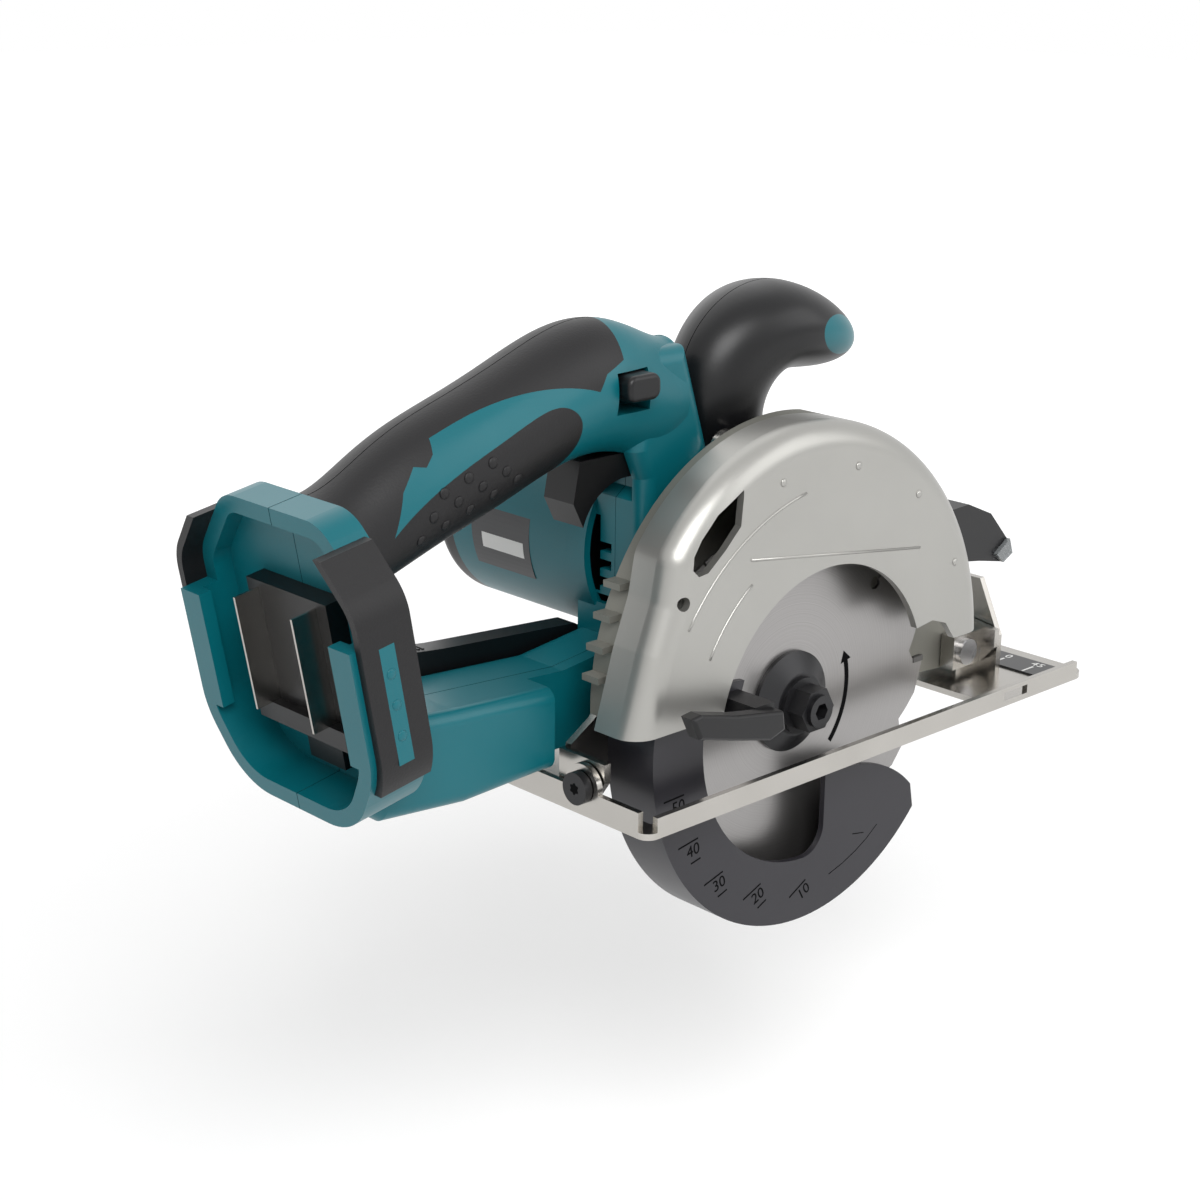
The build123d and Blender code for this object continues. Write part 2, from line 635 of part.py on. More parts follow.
FRONT_TAB = [
    (56.0, 30.0),
    (56.0, 7.0),
    (90.0, 4.6),
    (96.0, 4.6),
    (101.0, 7.0),
    (102.4, 11.0),
    (101.0, 15.0),
    (96.0, 18.0),
    (76.0, 34.0),
]
back_wall = guard_far - GUARD_BACK_T
with BuildPart() as guard_back:
    back_block(0.0, guard_split, guard_far)
    back_block(GUARD_WALL, guard_split, back_wall, Mode.SUBTRACT)
    disc(LOWER_R + GUARD_ROOM, ARBOR, guard_split, back_wall, Mode.SUBTRACT)
    prism(FRONT_TAB, back_wall, guard_far)
    for rib_z in BACK_RIBS:
        rib_x = BACK_CENTER[0] - math.sqrt(BACK_R**2 - (rib_z - BACK_CENTER[1]) ** 2)
        prism(
            [(rib_x - RIB_OUT, rib_z), (rib_x + 1.0, rib_z), (rib_x + 1.0, rib_z + RIB_T), (rib_x - RIB_OUT, rib_z + RIB_T)],
            guard_split + 4.0,
            guard_far,
        )
    disc(BOSS_R + GAP, ARBOR, back_wall, guard_far, Mode.SUBTRACT)
    disc(PIVOT_R + RUN, PIVOT, back_wall, guard_far, Mode.SUBTRACT)
    for screw in GUARD_SCREWS:
        disc(GUARD_SCREW_R + RUN, screw, back_wall, guard_far, Mode.SUBTRACT)
        disc(GUARD_SCREW_R * 2 + RUN, screw, back_wall, guard_far - 1.2, Mode.SUBTRACT)
save(guard_back, "guard_back")

with BuildPart() as guard_screws:
    for screw in GUARD_SCREWS:
        disc(GUARD_SCREW_R * 2, screw, guard_far - GUARD_BACK_T + 0.3, guard_far - 1.2)
        disc(GUARD_SCREW_R, screw, guard_far - 1.2, gear_near - 0.5)
save(guard_screws, "guard_screws")

# Lower guard with its retracting lever
NOSE = [(7.0, -5.0), (23.6, -7.9), (34.3, -10.8), (43.6, -15.7), (51.0, -22.0)]
with BuildPart() as lower_guard:
    with BuildSketch(side(lower_far)) as crescent:
        with BuildLine():
            rear_tip = polar(ARBOR, LOWER_R, LOWER_REAR_ANGLE)
            front_tip = polar(ARBOR, LOWER_R, LOWER_FRONT_ANGLE)
            bottom = polar(ARBOR, LOWER_R, -105.0)
            ThreePointArc(rear_tip, bottom, front_tip)
            Line(front_tip, NOSE[-1])
            Spline(*reversed(NOSE))
            Line(NOSE[0], (ARBOR[0] + 4.0, ARBOR[1]))
            Line((ARBOR[0] + 4.0, ARBOR[1]), rear_tip)
        make_face()
    extrude(crescent.sketch, amount=lower_far - lower_near)
    disc(LOWER_R - LOWER_WALL, ARBOR, lower_near + LOWER_SIDE, lower_far - LOWER_SIDE, Mode.SUBTRACT)
    with BuildSketch(side(lower_near + LOWER_SIDE)) as cutout:
        with Locations(ARBOR):
            Circle(LOWER_OPEN_R)
        with Locations((LOWER_OPEN_X + LOWER_R / 2, 0)):
            Rectangle(LOWER_R, 3 * LOWER_R, mode=Mode.SUBTRACT)
        fillet(cutout.vertices().sort_by(Axis.Y)[0], 9.0)
    extrude(cutout.sketch, amount=LOWER_SIDE, mode=Mode.SUBTRACT)
    with BuildSketch(side(lower_near + LOWER_SIDE)) as lug:
        with BuildLine():
            Polyline(
                polar(ARBOR, LOWER_OPEN_R + 2, 158.0),
                polar(ARBOR, 37.0, 152.0),
                polar(ARBOR, 37.0, 172.0),
                polar(ARBOR, LOWER_OPEN_R + 2, 178.0),
                close=True,
            )
        make_face()
    extrude(lug.sketch, amount=LOWER_SIDE)
    disc(LOWER_HUB_R, ARBOR, hub_near, lower_far)
    disc(BOSS_R + RUN, ARBOR, hub_near - 1.0, lower_far, Mode.SUBTRACT)
save(lower_guard, "lower_guard")

LEVER_POST = [(-43.8, 27.6), (-35.5, 27.6), (-35.5, 32.2), (-43.8, 32.2)]
LEVER_PADDLE = [
    (-75.0, 37.5),
    (-71.0, 38.0),
    (-56.0, 34.0),
    (-36.0, 30.5),
    (-35.0, 24.5),
    (-41.5, 22.6),
    (-57.0, 26.5),
    (-71.5, 30.5),
]
with BuildPart() as guard_lever:
    prism(LEVER_POST, BLADE_Y - LEVER_FAR, lower_near)
    prism(LEVER_PADDLE, BLADE_Y - LEVER_NEAR, BLADE_Y - LEVER_FAR)
    fillet(guard_lever.faces().sort_by(Axis.Y)[0].edges(), 1.2)
save(guard_lever, "guard_lever")


# Housing: handle, body, bridge and battery foot
def handle_form(inset):
    """Handle loft through rounded sections, drawn in by an inset."""
    with BuildPart() as form:
        for top_x, top_z, low_x, low_z, half in HANDLE_SECTIONS:
            along = Vector(top_x - low_x, 0, top_z - low_z)
            middle = Vector((top_x + low_x) / 2, 0, (top_z + low_z) / 2)
            ahead = Vector(along.Z, 0, -along.X)
            with BuildSketch(Plane(middle, x_dir=along, z_dir=ahead)):
                Ellipse(along.length / 2 - inset, half - inset)
        loft()
    return form.part


handle_outer = handle_form(0.0)
handle_core = handle_form(GRIP_T)

foot_back = Vector(-math.cos(math.radians(FOOT_TILT)), 0, -math.sin(math.radians(FOOT_TILT)))
foot_plane = Plane(FOOT_CENTER, x_dir=(0, -1, 0), z_dir=foot_back)
FOOT_OUTLINE = [
    (-22.0, FOOT_TOP),
    (22.0, FOOT_TOP),
    (FOOT_HALF, 24.0),
    (FOOT_HALF, -22.0),
    (26.0, FOOT_LOW),
    (-26.0, FOOT_LOW),
    (-FOOT_HALF, -22.0),
    (-FOOT_HALF, 24.0),
]
foot_inner = FOOT_HALF - FOOT_WALL


def foot_outline(inset):
    """Rounded outline of the foot, drawn in by an inset, or grown by a negative one."""
    with BuildSketch() as outline:
        with BuildLine():
            Polyline(*FOOT_OUTLINE, close=True)
        make_face()
        fillet(outline.vertices().filter_by(lambda corner: corner.Y < 0), FOOT_LOW_ROUND)
        fillet(outline.vertices().filter_by(lambda corner: corner.Y > 0), FOOT_TOP_ROUND)
        if inset:
            offset(amount=-inset, mode=Mode.REPLACE)
    return outline.sketch


def foot_shape(inset, back, front, mode=Mode.ADD):
    """Block with the foot's outline, drawn in by an inset, between two depths in its tilted plane."""
    with BuildSketch(foot_plane.offset(back)) as outline:
        add(foot_outline(inset))
    extrude(outline.sketch, amount=front - back, mode=mode)


def foot_block(width, low, high, back, front, mode=Mode.ADD, center=0.0):
    """Block in the foot's tilted plane, from a depth behind its rear face to one before it."""
    with BuildSketch(foot_plane.offset(back)) as face:
        with Locations((center, (low + high) / 2)):
            Rectangle(width, high - low)
    extrude(face.sketch, amount=front - back, mode=mode)


HOUSING_SCREWS = [(-36.0, 116.0, 12.0), (-140.0, 27.0, BRIDGE_HALF), (-105.0, 25.0, BRIDGE_HALF),
                  (-62.0, 22.0, BRIDGE_HALF)]
HOUSING_SCREW_R = 1.8
SCREW_SINK = 4.0
SCREW_END = -3.5
LOCK_SLOT = (-62.0, -48.0, 115.2, 127.6)
LOCK_TRAVEL = 3.5
TRIGGER_HALF = 6.5
TRIGGER_PIVOT = (-46.0, 98.0)
TRUNNION_R = 2.0
TRUNNION_END = TRIGGER_HALF + 2.5
TRIGGER_POCKET = [(-74.0, 82.0), (-74.0, 104.2), (-42.0, 104.2), (-42.0, 88.0), (-50.0, 82.0)]
SWITCH = (-80.0, -50.0, 104.2, 113.8, 8.0)
with BuildPart() as body_form:
    prism(BODY_OUTLINE, BODY_RIGHT, BODY_LEFT)
    fillet(body_form.faces().sort_by(Axis.Y)[0].edges(), BODY_ROUND)

with BuildPart() as housing_whole:
    prism(BRIDGE_OUTLINE, -BRIDGE_HALF, BRIDGE_HALF)
    bridge_rims = housing_whole.faces().sort_by(Axis.Y)
    fillet(bridge_rims[0].edges() + bridge_rims[-1].edges(), BRIDGE_ROUND)
    prism(
        [(BRIDGE_RECESS_X, 0.0), (0.0, 0.0), (0.0, 60.0), (BRIDGE_RECESS_X, 60.0)],
        -BRIDGE_HALF,
        BRIDGE_RECESS_Y,
        Mode.SUBTRACT,
    )
    add(body_form.part)
    disc(MOTOR_R, MOTOR, BODY_LEFT - 8.0, BODY_LEFT)
    foot_shape(0.0, 0.0, -FOOT_DEPTH)
    add(handle_outer)
    foot_shape(FOOT_WALL, 0.0, -FOOT_POCKET, Mode.SUBTRACT)
    foot_block(3 * FOOT_HALF, FOOT_SHOULDER, FOOT_TOP + FOOT_WALL, 0.0, -FOOT_STEP, Mode.SUBTRACT)
    for rail_side in (-1, 1):
        rail_center = rail_side * (foot_inner - RAIL_IN / 2)
        foot_block(RAIL_IN, FOOT_LOW + FOOT_WALL + 18.0, FOOT_SHOULDER, 0.0, -RAIL_T, Mode.ADD, rail_center)
    gear_case(-GAP, BODY_RIGHT - 5.0, cover_far, Mode.SUBTRACT)
    disc(motor_inner, MOTOR, cover_far - 0.5, BODY_LEFT, Mode.SUBTRACT)
    disc(CLAMP_R + SLIDE, CLAMP, BODY_RIGHT - 5.0, BRIDGE_HALF + 5.0, Mode.SUBTRACT)
    prism(TRIGGER_POCKET, -TRIGGER_HALF - SLIDE, TRIGGER_HALF + SLIDE, Mode.SUBTRACT)
    disc(TRUNNION_R + RUN, TRIGGER_PIVOT, -TRUNNION_END - GAP, TRUNNION_END + GAP, Mode.SUBTRACT)
    prism(
        [(SWITCH[0], SWITCH[2]), (SWITCH[1], SWITCH[2]), (SWITCH[1], SWITCH[3]), (SWITCH[0], SWITCH[3])],
        -SWITCH[4],
        SWITCH[4],
        Mode.SUBTRACT,
    )
    prism(
        [(LOCK_SLOT[0], LOCK_SLOT[2]), (LOCK_SLOT[1], LOCK_SLOT[2]), (LOCK_SLOT[1], LOCK_SLOT[3]),
         (LOCK_SLOT[0], LOCK_SLOT[3])],
        -BRIDGE_HALF - 5.0,
        BRIDGE_HALF + 5.0,
        Mode.SUBTRACT,
    )
    for screw_x, screw_z, head_y in HOUSING_SCREWS:
        disc(HOUSING_SCREW_R, (screw_x, screw_z), SCREW_END, head_y - SCREW_SINK, Mode.SUBTRACT)
        disc(2 * HOUSING_SCREW_R + RUN, (screw_x, screw_z), head_y - SCREW_SINK, BRIDGE_HALF + 5.0, Mode.SUBTRACT)
    for vent in range(4):
        vent_z = 50.0 + vent * 5.6
        prism(
            [(-60.0, vent_z), (-40.0, vent_z), (-40.0, vent_z + 3.0), (-60.0, vent_z + 3.0)],
            1.6,
            8.0,
            Mode.SUBTRACT,
        )

GRIP_CURVE = [
    (-126.3, 117.3),
    (-114.0, 121.4),
    (-101.5, 124.5),
    (-90.0, 126.0),
    (-79.0, 125.6),
    (-69.5, 123.4),
]
GRIP_FRONT = [(-66.0, 128.0), (-58.0, 131.0), (-56.0, 150.0), (-175.0, 150.0), (-175.0, 70.0)]
GRIP_NOTCH = [(-130.0, 70.0), (-144.0, 92.0), (-139.0, 105.0), (-134.0, 111.0), (-130.5, 110.5), (-127.5, 113.5)]
PAD_CURVE = [
    (-143.1, 93.8),
    (-131.8, 102.0),
    (-117.3, 109.2),
    (-103.1, 114.9),
    (-91.9, 119.4),
    (-82.0, 120.5),
    (-76.5, 116.0),
    (-76.0, 110.0),
    (-78.5, 103.6),
    (-88.5, 92.0),
]
PAD_UNDER = [(-110.0, 70.0), (-150.0, 70.0), (-150.0, 88.0)]
with BuildPart() as grip_whole:
    add(handle_outer)
    with BuildSketch(side(40.0)) as grip_region:
        with BuildLine():
            Spline(*GRIP_CURVE)
            Polyline(GRIP_CURVE[-1], *GRIP_FRONT, *GRIP_NOTCH, GRIP_CURVE[0])
        make_face()
        with BuildLine():
            Spline(*PAD_CURVE)
            Polyline(PAD_CURVE[-1], *PAD_UNDER, PAD_CURVE[0])
        make_face()
    extrude(grip_region.sketch, amount=80.0, mode=Mode.INTERSECT)
    add(handle_core, mode=Mode.SUBTRACT)
    foot_shape(0.0, 0.0, -FOOT_DEPTH, Mode.SUBTRACT)

with BuildPart() as housing_right:
    add(housing_whole.part)
    add(grip_whole.part, mode=Mode.SUBTRACT)
    split(bisect_by=Plane.XZ, keep=Keep.TOP)
save(housing_right, "housing_right")

with BuildPart() as housing_left:
    add(housing_whole.part)
    add(grip_whole.part, mode=Mode.SUBTRACT)
    split(bisect_by=Plane.XZ, keep=Keep.BOTTOM)
save(housing_left, "housing_left")

with BuildPart() as grip_right:
    add(grip_whole.part)
    split(bisect_by=Plane.XZ, keep=Keep.TOP)
save(grip_right, "grip_right")

with BuildPart() as grip_left:
    add(grip_whole.part)
    split(bisect_by=Plane.XZ, keep=Keep.BOTTOM)
save(grip_left, "grip_left")

with BuildPart() as housing_screws:
    for screw_x, screw_z, head_y in HOUSING_SCREWS:
        disc(HOUSING_SCREW_R, (screw_x, screw_z), SCREW_END, head_y - SCREW_SINK)
        disc(2 * HOUSING_SCREW_R, (screw_x, screw_z), head_y - SCREW_SINK, head_y - SCREW_SINK + 2.2)
save(housing_screws, "housing_screws")

# Trigger, lock-off lever and switch
with BuildPart() as trigger:
    with BuildSketch(side(TRIGGER_HALF)) as trigger_side:
        with BuildLine():
            Line((-43.5, 92.4), (-43.5, 100.5))
            Line((-43.5, 100.5), (-67.0, 100.5))
            Line((-67.0, 100.5), (-69.5, 88.0))
            Line((-69.5, 88.0), (-65.5, 80.2))
            ThreePointArc((-65.5, 80.2), (-58.0, 89.8), (-43.5, 92.4))
        make_face()
    extrude(trigger_side.sketch, amount=2 * TRIGGER_HALF)
    disc(TRUNNION_R, TRIGGER_PIVOT, -TRUNNION_END, TRUNNION_END)
save(trigger, "trigger")

with BuildPart() as lock_off_lever:
    prism(
        [(LOCK_SLOT[0] + SLIDE, LOCK_SLOT[2] + LOCK_TRAVEL + SLIDE), (LOCK_SLOT[1] - SLIDE, LOCK_SLOT[2] + LOCK_TRAVEL + SLIDE),
         (LOCK_SLOT[1] - SLIDE, LOCK_SLOT[3] - SLIDE), (LOCK_SLOT[0] + SLIDE, LOCK_SLOT[3] - SLIDE)],
        -BRIDGE_HALF - 4.0,
        BRIDGE_HALF + 4.0,
    )
    fillet(lock_off_lever.edges().filter_by(Axis.Y), 3.0)
    lever_ends = lock_off_lever.faces().sort_by(Axis.Y)
    fillet(lever_ends[0].edges() + lever_ends[-1].edges(), 1.5)
save(lock_off_lever, "lock_off_lever")

with BuildPart() as switch_unit:
    prism(
        [(SWITCH[0], SWITCH[2]), (SWITCH[1], SWITCH[2]), (SWITCH[1], SWITCH[3]), (SWITCH[0], SWITCH[3])],
        -SWITCH[4],
        SWITCH[4],
    )
save(switch_unit, "switch_unit")

# Front knob
KNOB_SECTIONS = [
    (-2.0, 97.5, 90.0, 16.5, 13.5),
    (-3.0, 114.0, 66.0, 17.5, 15.0),
    (6.0, 126.5, 38.0, 16.5, 17.5),
    (20.0, 130.5, 4.0, 14.5, 20.0),
    (34.0, 127.5, -18.0, 12.5, 19.0),
    (45.0, 123.5, -27.0, 9.0, 14.5),
    (51.5, 121.0, -30.0, 3.5, 6.0),
]
with BuildPart() as knob_whole:
    for section_x, section_z, lean, tall, half in KNOB_SECTIONS:
        turn = math.radians(lean)
        ahead = Vector(math.cos(turn), 0, math.sin(turn))
        along = Vector(-math.sin(turn), 0, math.cos(turn))
        with BuildSketch(Plane((section_x, 0, section_z), x_dir=along, z_dir=ahead)):
            Ellipse(tall, half)
    loft()
    add(housing_whole.part, mode=Mode.SUBTRACT)

INSERT = (36.0, 127.5, 12.0, 6.2, -16.0)
INSERT_DEPTH = 12.0
with BuildPart() as knob_inserts:
    add(knob_whole.part)
    with BuildSketch(side(40.0)) as ovals:
        with Locations(Location((INSERT[0], INSERT[1]), INSERT[4])):
            Ellipse(INSERT[2], INSERT[3])
    extrude(ovals.sketch, amount=80.0, mode=Mode.INTERSECT)
    with Locations((INSERT[0], 0, INSERT[1])):
        Box(60, 2 * INSERT_DEPTH, 60, mode=Mode.SUBTRACT)
save(knob_inserts, "knob_inserts")

for knob_name, knob_keep in (("knob_right", Keep.TOP), ("knob_left", Keep.BOTTOM)):
    with BuildPart() as knob_half:
        add(knob_whole.part)
        add(knob_inserts.part, mode=Mode.SUBTRACT)
        split(bisect_by=Plane.XZ, keep=knob_keep)
    save(knob_half, knob_name)

# Battery terminals
with BuildPart() as terminal_block:
    foot_block(36.0, -16.0, 20.0, -FOOT_POCKET + 6.0, -FOOT_POCKET)
    foot_block(40.0, -22.0, -16.0, -FOOT_POCKET + 9.0, -FOOT_POCKET)
    foot_block(16.0, -34.0, -22.0, -FOOT_POCKET + 3.0, -FOOT_POCKET)
save(terminal_block, "terminal_block")

with BuildPart() as contact_blades:
    for blade_side in (-1, 1):
        foot_block(0.8, -16.0, 18.0, -1.0, -FOOT_POCKET + 6.0, Mode.ADD, blade_side * 13.0)
save(contact_blades, "contact_blades")

# Foot bumpers with a strip let into each
BUMPER_T = 2.5
BUMPER_LOW = -28.0
BUMPER_HIGH = 38.0
BUMPER_IN = 20.0
STRIP = (5.0, -20.0, 14.0, 1.0)
strip_back = -FOOT_DEPTH / 2 + STRIP[0] / 2
with BuildPart() as foot_bumpers:
    for bumper_side in (-1, 1):
        with BuildSketch(foot_plane.offset(-2.0)) as bumper:
            add(foot_outline(-BUMPER_T))
            add(foot_outline(0.0), mode=Mode.SUBTRACT)
            with Locations((bumper_side * (BUMPER_IN + FOOT_HALF) / 2, (BUMPER_LOW + BUMPER_HIGH) / 2)):
                Rectangle(FOOT_HALF, BUMPER_HIGH - BUMPER_LOW, mode=Mode.INTERSECT)
        extrude(bumper.sketch, amount=-(FOOT_DEPTH - 3.0))
        strip_center = bumper_side * (FOOT_HALF + BUMPER_T - STRIP[3] / 2)
        foot_block(STRIP[3], STRIP[1], STRIP[2], strip_back, strip_back - STRIP[0], Mode.SUBTRACT, strip_center)
save(foot_bumpers, "foot_bumpers")

with BuildPart() as foot_strips:
    for bumper_side in (-1, 1):
        strip_center = bumper_side * (FOOT_HALF + BUMPER_T - STRIP[3] / 2)
        foot_block(STRIP[3], STRIP[1], STRIP[2], strip_back, strip_back - STRIP[0], Mode.ADD, strip_center)
save(foot_strips, "foot_strips")

# Base and its parts
with BuildPart() as base_plate:
    with BuildSketch(Plane.XY) as plate:
        with Locations(((BASE_REAR + BASE_FRONT) / 2, (BASE_RIGHT + BASE_LEFT) / 2)):
            Rectangle(BASE_FRONT - BASE_REAR, BASE_LEFT - BASE_RIGHT)
        fillet(plate.vertices().group_by(Axis.X)[-1], 6.0)
        fillet(plate.vertices().group_by(Axis.X)[0], 4.0)
        with Locations(((WINDOW_REAR + WINDOW_FRONT) / 2, (WINDOW_RIGHT + WINDOW_LEFT) / 2)):
            Rectangle(WINDOW_FRONT - WINDOW_REAR, WINDOW_LEFT - WINDOW_RIGHT, mode=Mode.SUBTRACT)
        with Locations(((CASE_RELIEF[0] + CASE_RELIEF[1]) / 2, (WINDOW_RIGHT + CASE_RELIEF[2]) / 2)):
            Rectangle(CASE_RELIEF[1] - CASE_RELIEF[0], CASE_RELIEF[2] - WINDOW_RIGHT, mode=Mode.SUBTRACT)
    extrude(amount=BASE_T)
    with BuildSketch(Plane.XY) as lips:
        with Locations(((BASE_REAR + 4.0 + BASE_FRONT - 6.0) / 2, BASE_RIGHT + BASE_T / 2)):
            Rectangle(BASE_FRONT - BASE_REAR - 10.0, BASE_T)
        with Locations(((BASE_REAR + 4.0 + BASE_FRONT - 6.0) / 2, BASE_LEFT - BASE_T / 2)):
            Rectangle(BASE_FRONT - BASE_REAR - 10.0, BASE_T)
    extrude(amount=BASE_LIP)
    with BuildSketch(Plane.YZ.offset(BASE_REAR)) as rear_lip:
        with Locations(((BASE_RIGHT + BASE_LEFT) / 2, BASE_REAR_LIP / 2)):
            Rectangle(BASE_LEFT - BASE_RIGHT - 8.0, BASE_REAR_LIP)
        with Locations((BEVEL_Y, BEVEL_Z)):
            Circle(7.0)
        with Locations((BEVEL_Y, BEVEL_Z)):
            Circle(2.5 + RUN, mode=Mode.SUBTRACT)
    extrude(amount=BASE_T)
    with Locations((*FENCE_AT, 0.0)):
        Cylinder(FENCE_SCREW_R + RUN, 3 * BASE_T, mode=Mode.SUBTRACT)
    with Locations((FENCE_AT[0], (BASE_RIGHT + BASE_LEFT) / 2, BASE_T + FENCE_BAR[1] / 2)):
        Box(FENCE_BAR[0], 2 * (BASE_LEFT - BASE_RIGHT), FENCE_BAR[1], mode=Mode.SUBTRACT)
save(base_plate, "base_plate")

# Front quadrant that turns with the base
quadrant_x = PIVOT[0] + 12.0
QUADRANT_T = 2.5
bolt_at = (
    BEVEL_Y + BEVEL_R * math.cos(math.radians(BEVEL_BOLT_ANGLE)),
    BEVEL_Z + BEVEL_R * math.sin(math.radians(BEVEL_BOLT_ANGLE)),
)
with BuildPart() as bevel_quadrant:
    with BuildSketch(Plane.YZ.offset(quadrant_x)) as quadrant:
        with BuildLine():
            Polyline(
                (BEVEL_Y - 7.0, BASE_T),
                (BEVEL_Y + BEVEL_R + 7.0, BASE_T),
                (BEVEL_Y + BEVEL_R + 7.0, BEVEL_Z + BEVEL_R * 0.6),
                (BEVEL_Y + BEVEL_R * 0.8, BEVEL_Z + BEVEL_R + 5.0),
                (BEVEL_Y + 2.0, BEVEL_Z + BEVEL_R + 5.0),
                (BEVEL_Y - 7.0, BEVEL_Z + 6.0),
                close=True,
            )
        make_face()
        with Locations((BEVEL_Y, BEVEL_Z)):
            Circle(2.5 + RUN, mode=Mode.SUBTRACT)
        bevel_slot = arc_slot((BEVEL_Y, BEVEL_Z), BEVEL_R, BEVEL_BOLT_ANGLE, BEVEL_TURN, CLAMP_R + SLIDE)
        add(bevel_slot, mode=Mode.SUBTRACT)
    extrude(amount=QUADRANT_T)
    with Locations((quadrant_x + QUADRANT_T / 2 - 6.0, BEVEL_Y + BEVEL_R / 2 + 4.0, BASE_T + 1.0)):
        Box(12.0 + QUADRANT_T, BEVEL_R + 6.0, 2.0)
save(bevel_quadrant, "bevel_quadrant")

with BuildPart() as sight_label:
    with Locations((BASE_FRONT - LABEL[0], BEVEL_Y - LABEL[1] / 3, BASE_T + LABEL[2] / 2)):
        Box(*LABEL)
save(sight_label, "sight_label")

# Depth frame
hinge_x = quadrant_x - QUADRANT_T - 0.5
with BuildPart() as depth_guide:
    with BuildSketch(side(GUIDE_Y + GUIDE_T)) as guide:
        slot_r = math.hypot(CLAMP[0] - PIVOT[0], CLAMP[1] - PIVOT[1])
        slot_start = math.degrees(math.atan2(CLAMP[1] - PIVOT[1], CLAMP[0] - PIVOT[0]))
        add(arc_slot(PIVOT, slot_r, slot_start - DEPTH_TURN, DEPTH_TURN, GUIDE_HALF))
        with BuildLine():
            Polyline(
                (CLAMP[0] - 7.0, CLAMP[1] + 8.0),
                (-70.0, 23.5),
                (-79.0, 18.0),
                (-79.0, 4.0),
                (-60.0, 4.0),
                (CLAMP[0] + 6.0, CLAMP[1] - 8.0),
                (CLAMP[0] + 6.0, CLAMP[1] + 8.0),
                close=True,
            )
        make_face()
        add(arc_slot(PIVOT, slot_r, slot_start - DEPTH_TURN, DEPTH_TURN, CLAMP_R + GAP), mode=Mode.SUBTRACT)
    extrude(guide.sketch, amount=GUIDE_T)
    with BuildSketch(Plane.YZ.offset(BASE_REAR + BASE_T + 0.5)) as rear_tab:
        with BuildLine():
            Polyline(
                (BEVEL_Y - 7.0, BEVEL_Z + 2.0),
                (BEVEL_Y - 3.0, BEVEL_Z - 3.8),
                (GUIDE_Y + GUIDE_T, BEVEL_Z - 5.0),
                (GUIDE_Y + GUIDE_T, 17.0),
                (BEVEL_Y - 7.0, 17.0),
                close=True,
            )
        make_face()
        with Locations((BEVEL_Y, BEVEL_Z)):
            Circle(2.5 + RUN, mode=Mode.SUBTRACT)
    extrude(amount=GUIDE_T)
save(depth_guide, "depth_guide")

with BuildPart() as bevel_screw:
    with BuildSketch(Plane.YZ.offset(BASE_REAR - 3.0)) as screw_head:
        with Locations((BEVEL_Y, BEVEL_Z)):
            Circle(5.0)
    extrude(amount=3.0 - 0.3)
    with BuildSketch(Plane.YZ.offset(BASE_REAR - 0.3)) as screw_stem:
        with Locations((BEVEL_Y, BEVEL_Z)):
            Circle(2.5)
    extrude(amount=BASE_T + 0.8 + GUIDE_T)
save(bevel_screw, "bevel_screw")

with BuildPart() as front_hinge:
    with BuildSketch(Plane.YZ.offset(hinge_x)) as hinge_face:
        with BuildLine():
            Polyline(
                (BEVEL_Y - 8.0, BEVEL_Z + 2.5),
                (BEVEL_Y - 3.0, BEVEL_Z - 3.2),
                (BEVEL_Y, BEVEL_Z - 4.5),
                (bolt_at[0] + 6.0, BEVEL_Z - 4.5),
                (bolt_at[0] + 6.0, bolt_at[1] + 6.0),
                (BEVEL_Y - 8.0, bolt_at[1] + 2.0),
                close=True,
            )
        make_face()
        with Locations((BEVEL_Y, BEVEL_Z)):
            Circle(2.5 + RUN, mode=Mode.SUBTRACT)
        with Locations(bolt_at):
            Circle(CLAMP_R + RUN, mode=Mode.SUBTRACT)
    extrude(amount=QUADRANT_T)
    for lug_low in (guard_far - GUARD_BACK_T - 6.0, guard_far + GAP):
        lug_high = lug_low + 6.0 - GAP
        prism(
            [(PIVOT[0] - 6.0, PIVOT[1] - 6.0), (hinge_x, PIVOT[1] - 6.0), (hinge_x, PIVOT[1] + 6.0),
             (PIVOT[0] - 6.0, PIVOT[1] + 6.0)],
            lug_low,
            lug_high,
        )
        disc(PIVOT_R + RUN, PIVOT, lug_low, lug_high, Mode.SUBTRACT)
save(front_hinge, "front_hinge")

with BuildPart() as depth_pivot_pin:
    disc(PIVOT_R, PIVOT, guard_far - GUARD_BACK_T - 6.0, guard_far + 6.0)
    disc(PIVOT_R + 0.6, PIVOT, guard_far - GUARD_BACK_T - 8.0, guard_far - GUARD_BACK_T - 6.0)
save(depth_pivot_pin, "depth_pivot_pin")

with BuildPart() as bevel_pin:
    with BuildSketch(Plane.YZ.offset(hinge_x)) as pin_face:
        with Locations((BEVEL_Y, BEVEL_Z)):
            Circle(2.5)
    extrude(amount=quadrant_x + QUADRANT_T + 0.3 - hinge_x)
    with BuildSketch(Plane.YZ.offset(quadrant_x + QUADRANT_T + 0.3)) as pin_head:
        with Locations((BEVEL_Y, BEVEL_Z)):
            Circle(4.0)
    extrude(amount=1.5)
save(bevel_pin, "bevel_pin")

